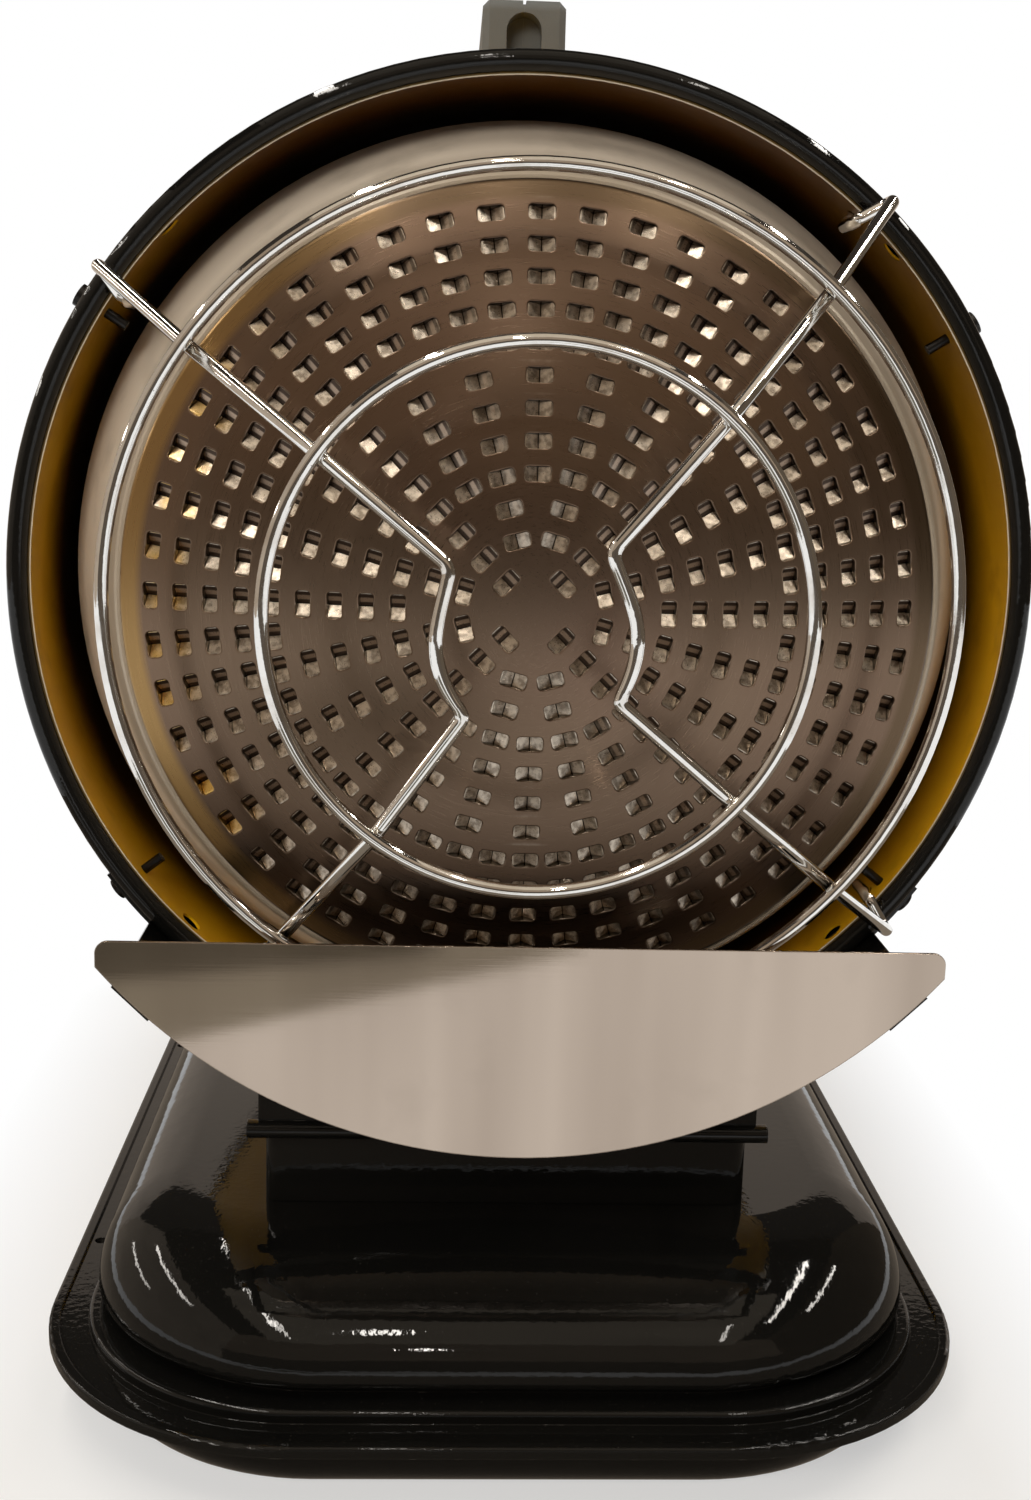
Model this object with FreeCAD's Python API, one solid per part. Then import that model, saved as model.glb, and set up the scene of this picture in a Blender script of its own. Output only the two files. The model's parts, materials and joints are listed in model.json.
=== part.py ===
"""Oil-fired radiant heater: a drum with a domed perforated emitter, on a pedestal over a pressed fuel tank.

Millimetres. +Z is up, the emitter faces -Y, and the origin is the centre of the tank's resting face.
Depths in the drum are measured backwards from the plane of its front rim.
"""
import FreeCAD, Part
import math
import os

V = FreeCAD.Vector

# Fit and fastening values
sheet = 1.5                     # pressed steel of tank and brackets
thin_sheet = 1.2                # rolled steel of drum, emitter and chamber
running_fit = 0.06              # radial play of a pin or shaft in its bore
slip = 0.3                      # play between curved faces of different bodies
screw_radius = 2.0
screw_head_radius = 4.5
screw_head_height = 3.0
screw_reach = 4.5               # how far a screw's tip stands out of the sheet
fillet_margin = 0.1             # flat that is left where a wall's edge is rounded

# Fuel tank
flange_width = 384.0
flange_length = 580.0
flange_corner = 110.0
flange_top = 31.0
hem_fold = 3.0
pan_inset = 20.0
pan_corner = 96.0
pan_bottom_radius = 14.0
step_inset_side = 16.0
step_inset_end = 18.0
step_corner = 94.0
step_height = 5.0
step_edge_radius = 2.0
groove_height = 4.0
groove_depth = 8.0
dome_inset_side = 18.0
dome_inset_end = 24.0
dome_corner = 100.0
dome_height = 40.0
dome_shoulder_side = 35.0
dome_shoulder_end = 70.0
dome_shoulder_turns = (0.0, 15.0, 30.0, 45.0, 60.0, 75.0, 90.0)
dome_bead = 4.0
tank_hole_radius = 2.75
tank_hole_inset = 9.0
tank_hole_y = 125.0

# Filler, cap, pickup and drain
filler_inset_side = 39.0        # of its middle from the edge of the dome's flat top
filler_inset_end = 46.0
filler_radius = 24.0
filler_wall = 1.5
filler_rise = 16.0
filler_flange_radius = 31.0
filler_drop = 4.5               # how far the neck reaches into the tank
strainer_depth = 34.0
strainer_wall = 1.5
strainer_seat = 3.0             # below the neck's mouth
cap_wall = 3.0
cap_edge_radius = 2.5
cap_skirt_gap = 2.0             # between the cap's skirt and the neck's collar
cap_lobes = 10
cap_lobe_radius = 3.5
gasket_thickness = 2.0
gasket_width = 4.5
pickup_x = -40.0
pickup_y = -20.0
pipe_radius = 4.0
pickup_rise = 16.0
pickup_collar_radius = 10.0
pickup_collar_height = 3.0
pickup_port_rise = 7.0          # of the line's branch above the tank top
pickup_floor_gap = 8.0
filter_radius = 10.0
filter_height = 18.0
filter_floor = 1.5
drain_radius = 8.0
drain_recess = 0.75             # of the plug's face above the tank's bottom
drain_collar_radius = 12.0
drain_collar_height = 6.0
drain_key_width = 4.0
drain_key_length = 8.0
drain_y = 215.0

# Pedestal and saddle
pedestal_width = 204.0
pedestal_length = 270.0
pedestal_front_depth = 15.0
pedestal_height = 38.0
pedestal_corner = 6.0
pedestal_foot = 14.0
pedestal_screw_inset = 45.0
saddle_side_gap = 0.5
saddle_front_gap = 5.0
saddle_length = 190.0
saddle_drop = 6.0               # how far the lip laps below the top of the pedestal
saddle_rear_gap = 9.0           # between the rear wall and the pedestal's lid
lid_rim = 8.0
lid_gap = 6.0                   # between the lid and the saddle, for the tilt
lip_reach = 4.5
lip_height = 7.0
cradle_angle = 70.0             # of the drum's round that the saddle hugs
saddle_screw_angle = 18.0
saddle_screw_front = 50.0
saddle_screw_pitch = 110.0
pivot_depth = 150.0
pivot_rise = 24.0               # above the tank top
pivot_radius = 4.0
pivot_ear_radius = 13.0
bolt_head_radius = 7.5
bolt_head_height = 5.0

# Drum
drum_underside = 150.0
rim_y = -200.0
drum_radius = 192.0
drum_length = 426.0
drum_front_depth = 4.0
rim_height = 8.0
rim_length = 22.0
rim_screw_depth = 13.0
rim_screw_reach = 9.0
upper_screw_angle = 32.0
lower_screw_angle = -38.0
wall_hole_radius = 4.5
wall_hole_depth = 11.0
upper_wall_hole_angle = 44.0
lower_wall_hole_angle = -46.5

# Emitter
disc_apex = 70.0                # in front of the rim
disc_sag = 30.5
disc_edge_height = 6.0
perforation_tangent = 10.4
perforation_radial = 6.3
perforation_first = 14.0
perforation_pitch = 11.2
perforation_border = 11.0       # at the disc's edge, where no ring of holes has its middle
perforation_rings = ((4, 45.0), (12, 15.0), (12, 15.0), (24, 0.0), (24, 0.0), (24, 0.0), (24, 0.0),
                     (48, 0.0), (48, 0.0), (48, 0.0), (48, 0.0), (48, 0.0))
emitter_seat = 2.0              # ledge of the ring that the disc's edge sits on
emitter_front_run = 14.0        # in radius, from the disc to the crease
emitter_crease_depth = 0.0
emitter_rear_run = 18.0         # in radius, from the crease to the rear
emitter_gap = 11.0              # from the ring's rear to the drum's outside
emitter_rear_depth = 44.0
emitter_lap = 8.0

# Combustion chamber and burner
chamber_length = 190.0
chamber_lap = 6.0
chamber_cone = 20.0
chamber_neck = 12.0
bracket_depth = 130.0
bracket_width_angle = 10.0
bracket_thickness = 3.0
bracket_angles = (45.0, 135.0, 225.0, 315.0)
tube_radius = 52.0
tube_front_depth = 205.0
tube_collar = 12.0
carrier_depth = 318.0
carrier_thickness = 2.0
carrier_hub_radius = 16.0
carrier_inner_window = 46.0
carrier_window_inner = 68.0
carrier_rim_width = 22.8
carrier_rim_gap = 0.2
carrier_inner_windows = 6
carrier_outer_windows = 8
carrier_inner_spoke = 16.0
carrier_outer_spoke = 10.0
nozzle_holder_radius = 8.0
nozzle_holder_front = 214.0
nozzle_holder_rear = 336.0
nozzle_radius = 7.0
nozzle_tip_radius = 3.0
nozzle_length = 14.0
nozzle_stem_radius = 5.0
nozzle_stem_length = 8.0
flame_disc_depth = 219.0
flame_slots = 8
flame_slot_inner = 32.0
flame_slot_outer = 45.0
flame_slot_angle = 18.0
electrode_radius = 5.0
electrode_offset = 24.0
electrode_spread = 14.0         # of each electrode from the middle
electrode_front_depth = 208.0
electrode_length = 62.0
electrode_tip_length = 9.0
electrode_tip_bend = 3.0
spark_depth = 194.0
spark_height = 10.0
spark_gap = 6.0
electrode_tip_radius = 1.2
sensor_radius = 6.0
sensor_offset = 30.0
sensor_front = 22.0             # in front of the carrier
sensor_rear = 8.0               # behind the carrier
sensor_collar = 2.0
sensor_collar_length = 6.0

# Fuel line to the nozzle
line_radius = 3.0
line_hole_gap = 1.0             # around the line where it passes through sheet metal
line_drop_depth = 160.0
line_drop_bend = 7.0
line_bend = 12.0
line_tail = 24.0                # below the drum
line_seat = 1.0                 # of the line's end below the nozzle holder's middle
lower_line_bend = 8.0
lower_line_out = 18.0
lower_line_in = 26.0

# Fan and rear cover
fan_depth = 346.0
fan_hub_radius = 34.0
fan_radius = 150.0
fan_hub_length = 22.0
fan_blades = 6
fan_pitch = 28.0
fan_blade_thickness = 2.0
fan_blade_chord = 62.0
fan_blade_camber = 9.0
fan_blade_root = 8.0            # inside the hub's round
fan_hub_round = 6.0
motor_radius = 44.0
motor_front = 376.0
motor_length = 48.0
motor_edge = 6.0
motor_boss_radius = 15.0
motor_boss_length = 6.0
shaft_radius = 5.0
shaft_nose = 8.0                # in front of the fan's hub
shaft_in_motor = 23.0
shaft_end_gap = 1.0
motor_bracket_depth = 402.0
motor_bracket_thickness = 3.0
motor_bracket_arm = 22.0
motor_bracket_hub = 9.0
motor_bracket_angles = (90.0, 210.0, 330.0)
motor_foot_thickness = 3.0
motor_foot_length = 8.0
motor_foot_angle = 7.0
rear_lip = 20.0
rear_wall = 2.0
rear_dish = 20.0
rear_bend = 8.0
rear_screw_angles = (45.0, 135.0, 225.0, 315.0)
rear_slot_inner = 52.0
rear_slot_width = 9.0
rear_slot_pitch = 26.0
rear_slot_rings = 5
rear_slots_per_ring = 8
rear_slot_web_angle = 9.0

# Handle
handle_depth = 165.0
handle_length = 136.0
handle_width = 38.0
handle_rise = 61.0              # above the drum
handle_grip = 24.0
handle_post = 22.0
handle_chamfer = 3.0
handle_corner = 5.0
handle_groove_width = 1.6
handle_groove_depth = 2.5
handle_hollow_width = 16.0
handle_hollow_height = 22.0
handle_hollow_depth = 12.0
handle_hollow_roof = 6.0
handle_screw_x = 12.0
handle_screw_reach = 14.0

# Deflector
deflector_reach = 76.0          # in front of the rim
deflector_overlap = 0.5         # past the rim
deflector_height = 80.5
deflector_end_inset = 7.6       # of its upright ends from the round
deflector_corner = 4.5
arm_angle = -45.5
arm_width = 18.0
arm_rear_depth = 20.0
arm_tab = 14.0
arm_foot_end = 8.0              # of the foot along the rim past the screw

# Wire guard
wire_radius = 2.5
guard_outer_radius = 150.0
guard_outer_reach = 68.0
guard_outer_sink = 0.0          # how far a leg is pressed into the ring at its weld
guard_inner_radius = 91.0
guard_inner_reach = 105.5
guard_inner_sink = 1.0
guard_kink_radius = 36.0
guard_kink_inset_angle = 5.0
guard_kink_rise = 5.5
guard_bow_radius = 34.0
guard_leg_angle = 45.0
left_wire_angle = 189.0
right_wire_angle = 3.5
guard_ring_bend = 20.0          # bend radius of a leg where it passes a ring
guard_kink_bend = 6.0
hook_bend = 4.0
hook_fold = 6.4                 # between a leg's end and the return run behind it
hook_spacing = 5.0
hook_inset = 1.5                # of the fold from the rim's outside
hook_depth = 16.0
hook_inner_gap = 6.0
hook_tip = 4.0

# Pump and ignition in the pedestal
pump_x = -48.0
pump_y = -110.0
pump_base = 44.0
pump_base_thickness = 3.0
pump_radius = 14.0
pump_rise = 16.0                # of the pump's axis above the tank top
pump_coil_width = 30.0
pump_coil_length = 24.0
pump_coil_height = 31.0
transformer_x = 44.0
transformer_y = -105.0
transformer_width = 58.0
transformer_length = 74.0
transformer_height = 30.0
transformer_corner = 4.0
transformer_foot_width = 84.0
transformer_foot_length = 40.0
transformer_foot_thickness = 3.0
terminal_radius = 6.0
terminal_reach = 8.0
terminal_spacing = 28.0
terminal_rise = 18.0

# Controls on the pedestal's rear wall
panel_width = 150.0
panel_height = 31.0
panel_thickness = 2.0
panel_corner = 4.0
switch_x = -42.0
switch_width = 22.0
switch_height = 15.0
switch_body_depth = 20.0
switch_wall = 2.0
switch_bezel = 2.0
switch_bezel_thickness = 1.5
switch_well_depth = 10.0
rocker_proud = 3.0
rocker_dip = 1.5                # hollow of the rocker's face
rocker_belly = 3.0              # bulge of the rocker's back
rocker_depth = 6.0
knob_x = 8.0
knob_radius = 12.0
knob_height = 13.0
knob_ribs = 16
knob_groove_radius = 1.2
knob_skirt = 3.0
knob_mark_width = 1.6
knob_mark_depth = 1.0
knob_shaft_radius = 3.0
thermostat_radius = 9.0
thermostat_depth = 14.0
thermostat_floor = 4.0
gland_x = 52.0
gland_radius = 9.0
gland_bore = 4.0
gland_length = 14.0
gland_inside = 8.0
gland_flare = 3.0
board_gap = 30.0                # from the control board to the rear wall
board_rise = 4.0
board_width = 132.0
board_height = 30.0
board_thickness = 2.0
board_post_radius = 3.0
board_post_inset = 5.0
relay_x = -48.0
relay_width = 20.0
relay_height = 18.0
relay_depth = 16.0
choke_x = -7.0
choke_width = 26.0
choke_height = 22.0
choke_depth = 20.0
capacitor_x = 31.0
capacitor_spacing = 18.0
capacitor_radius = 6.0
capacitor_depth = 18.0

# Derived planes
seam_z = flange_top - sheet
step_top = flange_top + step_height
dome_bottom = step_top + groove_height
tank_top = dome_bottom + dome_height
upper_flange_width = flange_width - 2 * sheet
upper_flange_length = flange_length - 2 * sheet
upper_flange_corner = flange_corner - sheet
dome_width = flange_width - 2 * dome_inset_side
dome_length = flange_length - 2 * dome_inset_end
tank_hole_x = flange_width / 2 - tank_hole_inset
filler_x = dome_width / 2 - dome_shoulder_side - filler_inset_side
filler_y = dome_length / 2 - dome_shoulder_end - filler_inset_end
axis_z = drum_underside + drum_radius
drum_inner = drum_radius - thin_sheet
drum_rear = drum_front_depth + drum_length
rim_radius = drum_radius + rim_height
rear_radius = drum_radius + rear_wall
emitter_rear_radius = drum_radius - emitter_gap
emitter_crease_radius = emitter_rear_radius - emitter_rear_run
disc_radius = emitter_crease_radius - emitter_front_run
perforation_room = disc_radius - perforation_border - perforation_first
perforation_fit = 1 + int(perforation_room / perforation_pitch)
carrier_window_outer = drum_inner - carrier_rim_width
handle_top = drum_radius + handle_rise
deflector_radius = rim_radius + deflector_overlap
deflector_top = deflector_height - deflector_radius
deflector_half_width = math.sqrt(deflector_radius ** 2 - deflector_top ** 2) - deflector_end_inset
chamber_radius = emitter_rear_radius - thin_sheet
chamber_front = emitter_rear_depth + emitter_lap - chamber_lap
chamber_rear = chamber_front + chamber_length
pedestal_front = rim_y + pedestal_front_depth
pedestal_rear = pedestal_front + pedestal_length
pedestal_middle = (pedestal_front + pedestal_rear) / 2
pedestal_top = tank_top + pedestal_height
pivot_y = rim_y + pivot_depth
pivot_z = tank_top + pivot_rise
saddle_inner_x = pedestal_width / 2 + saddle_side_gap
saddle_front = pedestal_front - saddle_front_gap
saddle_bottom = pedestal_top - saddle_drop
saddle_rear = saddle_front + saddle_length
lid_top = pedestal_top + sheet
panel_middle_z = tank_top + pedestal_height / 2
panel_front = pedestal_rear + panel_thickness
rim_angles = (upper_screw_angle, 180 - upper_screw_angle, 180 - lower_screw_angle, lower_screw_angle)
wall_hole_angles = (upper_wall_hole_angle, 180 - upper_wall_hole_angle,
                    180 - lower_wall_hole_angle, lower_wall_hole_angle)
line_run_radius = (chamber_radius + drum_inner) / 2
line_rear_depth = nozzle_holder_rear - nozzle_holder_radius
shaft_rear = motor_front + shaft_in_motor


def drum_point(radius, angle, depth):
    """Point at a radius and angle about the drum axis, at a depth behind the rim."""
    turn = math.radians(angle)
    return V(radius * math.cos(turn), rim_y + depth, axis_z + radius * math.sin(turn))


def closed_wire(points, place):
    """Closed outline. A plain pair is a line's end; a pair of pairs is an arc's middle and end."""
    start = place(*points[0])
    here = start
    edges = []
    for step in points[1:]:
        if isinstance(step[0], tuple):
            end = place(*step[1])
            edges.append(Part.Arc(here, place(*step[0]), end).toShape())
        else:
            end = place(*step)
            edges.append(Part.LineSegment(here, end).toShape())
        here = end
    if here.distanceToPoint(start) > 1e-6:
        edges.append(Part.LineSegment(here, start).toShape())
    return Part.Wire(edges)


def round_to(centre, radius, middle_angle, end_angle):
    """Arc step for closed_wire about a centre, given by the angles of its middle and end."""
    def at(angle):
        turn = math.radians(angle)
        return (centre[0] + radius * math.cos(turn), centre[1] + radius * math.sin(turn))
    return (at(middle_angle), at(end_angle))


def turned(points, sweep=360.0, start_angle=0.0):
    """Solid of revolution about the drum axis from (radius, depth) points."""
    wire = closed_wire(points, lambda radius, depth: V(radius, rim_y + depth, axis_z))
    solid = Part.Face(wire).revolve(V(0, 0, axis_z), V(0, -1, 0), sweep)
    solid.rotate(V(0, 0, axis_z), V(0, -1, 0), start_angle)
    return solid


def ring(inner, outer, front, rear, sweep=360.0, start_angle=0.0):
    """Plain ring, or a sector of one, about the drum axis."""
    return turned([(inner, front), (outer, front), (outer, rear), (inner, rear)], sweep, start_angle)


def rounded_outline(width, length, corner):
    """Points of a rectangle with rounded corners about the origin, for closed_wire."""
    x, y = width / 2, length / 2
    points = [(x, corner - y), (x, y - corner)]
    points.append(round_to((x - corner, y - corner), corner, 45, 90))
    points.append((corner - x, y))
    points.append(round_to((corner - x, y - corner), corner, 135, 180))
    points.append((-x, corner - y))
    points.append(round_to((corner - x, corner - y), corner, 225, 270))
    points.append((x - corner, -y))
    points.append(round_to((x - corner, corner - y), corner, 315, 360))
    return points


def slab(width, length, corner, bottom, top, middle_y=0.0):
    """Upright block with rounded corners in plan."""
    wire = closed_wire(rounded_outline(width, length, corner), lambda x, y: V(x, y + middle_y, bottom))
    return Part.Face(wire).extrude(V(0, 0, top - bottom))


def box(low, high):
    """Block between two corners."""
    return Part.makeBox(high[0] - low[0], high[1] - low[1], high[2] - low[2], V(*low))


def rod(radius, start, end):
    """Round bar from one point to another."""
    along = end - start
    return Part.makeCylinder(radius, along.Length, start, along)


def fuse(shapes):
    """One solid from touching or overlapping shapes, with its flat and round faces merged."""
    return shapes[0].fuse(shapes[1:]).removeSplitter()


def edges_at(shape, height):
    """Edges that lie in the level plane at a height."""
    box_of = [(edge, edge.BoundBox) for edge in shape.Edges]
    return [edge for edge, bounds in box_of
            if abs(bounds.ZMin - height) < 1e-4 and abs(bounds.ZMax - height) < 1e-4]


def bent_wire(corners, radius):
    """Round wire along straight runs joined by tangent arcs. Each corner is a point and its bend radius."""
    points = [point for point, bend in corners]
    edges = []
    here = points[0]
    for before, (corner, bend), after in zip(points, corners[1:-1], points[2:]):
        back = (before - corner).normalize()
        on = (after - corner).normalize()
        half = back.getAngle(on) / 2
        start = corner + back * (bend / math.tan(half))
        end = corner + on * (bend / math.tan(half))
        middle = corner + (back + on).normalize() * (bend / math.sin(half) - bend)
        edges.append(Part.LineSegment(here, start).toShape())
        edges.append(Part.Arc(start, middle, end).toShape())
        here = end
    edges.append(Part.LineSegment(here, points[-1]).toShape())
    section = Part.Wire(Part.Circle(points[0], points[1] - points[0], radius).toShape())
    return Part.Wire(edges).makePipeShell([section], True, False)


def drum_screw(angle, head_at, tip_at, depth):
    """Pan-head screw driven towards the drum axis."""
    shank = rod(screw_radius, drum_point(tip_at, angle, depth), drum_point(head_at, angle, depth))
    top = drum_point(head_at + screw_head_height, angle, depth)
    return shank.fuse(rod(screw_head_radius, drum_point(head_at, angle, depth), top)).removeSplitter()


def upright_screw(x, y, seat, tip):
    """Pan-head screw along Z whose head rests on a seat."""
    head_end = seat + math.copysign(screw_head_height, seat - tip)
    shank = rod(screw_radius, V(x, y, tip), V(x, y, seat))
    return shank.fuse(rod(screw_head_radius, V(x, y, seat), V(x, y, head_end))).removeSplitter()


# Tank

def tank_holes():
    """Bolt holes through the side flanges."""
    places = [(x, y) for x in (-tank_hole_x, tank_hole_x) for y in (-tank_hole_y, tank_hole_y)]
    return [rod(tank_hole_radius, V(x, y, seam_z - 2 * sheet), V(x, y, flange_top + sheet)) for x, y in places]


def shoulder_section(inset, turn):
    """Outline of the dome at one height of its shoulder, which is longer at the ends than at the sides."""
    drawn_in = 1 - math.cos(math.radians(turn))
    side = inset + (dome_shoulder_side - inset) * drawn_in
    end = inset + (dome_shoulder_end - inset) * drawn_in
    base = dome_bottom + dome_bead
    z = base + (tank_top - inset - base) * math.sin(math.radians(turn))
    outline = rounded_outline(dome_width - 2 * side, dome_length - 2 * end, dome_corner - (side + end) / 2)
    return closed_wire(outline, lambda x, y: V(x, y, z))


def domed_block(inset):
    """Tank dome with its bead and recessed foot, drawn in by an inset."""
    bottom = dome_bottom + inset
    shoulder = Part.makeLoft([shoulder_section(inset, turn) for turn in dome_shoulder_turns], True)
    bead = slab(dome_width - 2 * inset, dome_length - 2 * inset, dome_corner - inset, bottom, dome_bottom + dome_bead)
    bead = bead.makeFillet(dome_bead - inset - fillet_margin, edges_at(bead, bottom))
    block = shoulder.fuse(bead)
    foot_inset = 2 * (groove_depth + inset)
    foot = slab(dome_width - foot_inset, dome_length - foot_inset, dome_corner - foot_inset / 2,
                step_top - inset, bottom + dome_bead)
    return block.fuse(foot)


def tank_upper_shell():
    flange = slab(upper_flange_width, upper_flange_length, upper_flange_corner, seam_z, flange_top)
    step_width = flange_width - 2 * step_inset_side
    step_length = flange_length - 2 * step_inset_end
    step = slab(step_width, step_length, step_corner, seam_z, step_top)
    step = step.makeFillet(step_edge_radius, edges_at(step, step_top))
    outside = fuse([flange, step, domed_block(0)])
    hollow = slab(step_width - 2 * sheet, step_length - 2 * sheet, step_corner - sheet,
                  seam_z, step_top - sheet)
    hollow = hollow.fuse(domed_block(sheet))
    openings = [rod(filler_radius, V(filler_x, filler_y, seam_z), V(filler_x, filler_y, tank_top + sheet)),
                rod(pipe_radius, V(pickup_x, pickup_y, seam_z), V(pickup_x, pickup_y, tank_top + sheet))]
    openings += [rod(screw_radius, V(x, y, step_top), V(x, y, tank_top + sheet))
                 for x, y in pedestal_screw_places()]
    return outside.cut([hollow] + openings + tank_holes())


def tank_lower_shell():
    pan_width = flange_width - 2 * pan_inset
    pan_length = flange_length - 2 * pan_inset
    pan = slab(pan_width, pan_length, pan_corner, 0, seam_z)
    pan = pan.makeFillet(pan_bottom_radius, edges_at(pan, 0))
    hem_top = flange_top + sheet
    rim = slab(flange_width, flange_length, flange_corner, seam_z - sheet, hem_top)
    rim = rim.makeFillet(sheet - fillet_margin, edges_at(rim, hem_top))
    seat = slab(upper_flange_width, upper_flange_length, upper_flange_corner, seam_z, flange_top)
    mouth = slab(upper_flange_width - 2 * hem_fold, upper_flange_length - 2 * hem_fold,
                 upper_flange_corner - hem_fold, flange_top, hem_top)
    hollow = slab(pan_width - 2 * sheet, pan_length - 2 * sheet, pan_corner - sheet, sheet, seam_z)
    hollow = hollow.makeFillet(pan_bottom_radius - sheet, edges_at(hollow, sheet))
    drain = rod(drain_radius, V(0, drain_y, 0), V(0, drain_y, 2 * sheet))
    return pan.fuse(rim).cut([seat, mouth, hollow, drain] + tank_holes()).removeSplitter()


def drain_plug():
    """Rubber plug pushed in from inside, with a slot for the tool in its face."""
    seat = sheet
    face = rod(drain_radius, V(0, drain_y, drain_recess), V(0, drain_y, seat))
    collar = rod(drain_collar_radius, V(0, drain_y, seat), V(0, drain_y, seat + drain_collar_height))
    key = box((-drain_key_width / 2, drain_y - drain_key_length / 2, 0),
              (drain_key_width / 2, drain_y + drain_key_length / 2, seat))
    return face.fuse(collar).removeSplitter().cut(key)


def filler_neck():
    top = tank_top + filler_rise
    neck = rod(filler_radius, V(filler_x, filler_y, tank_top - filler_drop), V(filler_x, filler_y, top))
    collar = rod(filler_flange_radius, V(filler_x, filler_y, tank_top), V(filler_x, filler_y, tank_top + sheet))
    bore = rod(filler_radius - filler_wall, V(filler_x, filler_y, 0), V(filler_x, filler_y, top + sheet))
    return neck.fuse(collar).removeSplitter().cut(bore)


def filler_strainer():
    top = tank_top + filler_rise - strainer_seat
    bore = filler_radius - filler_wall
    low = top - strainer_depth
    cup = rod(bore - strainer_wall, V(filler_x, filler_y, low), V(filler_x, filler_y, top))
    lip = rod(bore - running_fit, V(filler_x, filler_y, top - strainer_wall), V(filler_x, filler_y, top))
    inside = rod(bore - 2 * strainer_wall,
                 V(filler_x, filler_y, low + strainer_wall), V(filler_x, filler_y, top))
    return cup.fuse(lip).removeSplitter().cut(inside)


def fuel_cap():
    rest = tank_top + filler_rise + gasket_thickness + slip
    top = rest + cap_wall
    bottom = tank_top + sheet + cap_skirt_gap
    outer = filler_radius + slip + cap_wall
    cap = rod(outer, V(filler_x, filler_y, bottom), V(filler_x, filler_y, top))
    cap = cap.makeFillet(cap_edge_radius, edges_at(cap, top))
    inside = rod(filler_radius + slip, V(filler_x, filler_y, bottom), V(filler_x, filler_y, rest))
    grips = []
    for lobe in range(cap_lobes):
        turn = 2 * math.pi * lobe / cap_lobes
        x = filler_x + (outer + cap_lobe_radius / 2) * math.cos(turn)
        y = filler_y + (outer + cap_lobe_radius / 2) * math.sin(turn)
        grips.append(rod(cap_lobe_radius, V(x, y, bottom), V(x, y, top)))
    return cap.cut([inside] + grips)


def cap_gasket():
    bottom = tank_top + filler_rise + slip
    disc = rod(filler_radius, V(filler_x, filler_y, bottom), V(filler_x, filler_y, bottom + gasket_thickness))
    hole = filler_radius - gasket_width
    passage = rod(hole, V(filler_x, filler_y, tank_top), V(filler_x, filler_y, bottom + gasket_thickness))
    return disc.cut(passage)


def fuel_pickup_pipe():
    pipe = rod(pipe_radius, V(pickup_x, pickup_y, pickup_floor_gap),
               V(pickup_x, pickup_y, tank_top + pickup_rise))
    collar = rod(pickup_collar_radius, V(pickup_x, pickup_y, tank_top),
                 V(pickup_x, pickup_y, tank_top + pickup_collar_height))
    return pipe.fuse(collar).removeSplitter()


def pickup_filter():
    bottom = pickup_floor_gap - filter_floor
    body = rod(filter_radius, V(pickup_x, pickup_y, bottom), V(pickup_x, pickup_y, bottom + filter_height))
    return body.cut(rod(pipe_radius, V(pickup_x, pickup_y, pickup_floor_gap), V(pickup_x, pickup_y, tank_top)))


# Pedestal

def pedestal_screw_places():
    """Where the pedestal's feet are screwed to the tank."""
    x = pedestal_width / 2 - sheet - pedestal_foot / 2
    ends = (pedestal_front + pedestal_screw_inset, pedestal_rear - pedestal_screw_inset)
    return [(side * x, y) for side in (-1, 1) for y in ends]


def pedestal_box():
    inner_width = pedestal_width - 2 * sheet
    inner_length = pedestal_length - 2 * sheet
    outside = slab(pedestal_width, pedestal_length, pedestal_corner, tank_top, pedestal_top, pedestal_middle)
    inside = slab(inner_width, inner_length, pedestal_corner - sheet,
                  tank_top + sheet, pedestal_top, pedestal_middle)
    mouth = slab(inner_width - 2 * pedestal_foot, inner_length - 2 * pedestal_foot, pedestal_corner,
                 tank_top, pedestal_top, pedestal_middle)
    pivots = rod(pivot_radius, V(-pedestal_width, pivot_y, pivot_z), V(pedestal_width, pivot_y, pivot_z))
    holes = [rod(screw_radius, V(x, y, tank_top), V(x, y, pedestal_top)) for x, y in pedestal_screw_places()]
    window = box((switch_x - switch_width / 2, pedestal_rear - 2 * sheet, panel_middle_z - switch_height / 2),
                 (switch_x + switch_width / 2, pedestal_rear, panel_middle_z + switch_height / 2))
    bores = [rod(radius, V(x, pedestal_rear - 2 * sheet, panel_middle_z), V(x, pedestal_rear, panel_middle_z))
             for x, radius in ((knob_x, thermostat_radius), (gland_x, gland_radius))]
    return outside.cut([inside, mouth, pivots, window] + bores + holes)


def pedestal_lid():
    """Cover over the rear of the pedestal, with a rim turned down inside its walls."""
    front = saddle_rear + lid_gap
    inner = pedestal_width / 2 - sheet
    plate = slab(pedestal_width, pedestal_length, pedestal_corner, pedestal_top, lid_top, pedestal_middle)
    rim = box((-inner + slip, front, pedestal_top - lid_rim), (inner - slip, front + sheet, pedestal_top))
    rear_part = box((-pedestal_width, front, pedestal_top), (pedestal_width, pedestal_rear, lid_top))
    return plate.common(rear_part).fuse(rim).removeSplitter()


def pedestal_screws():
    tip = tank_top - sheet - screw_reach
    return Part.makeCompound([upright_screw(x, y, tank_top + sheet, tip) for x, y in pedestal_screw_places()])


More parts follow.
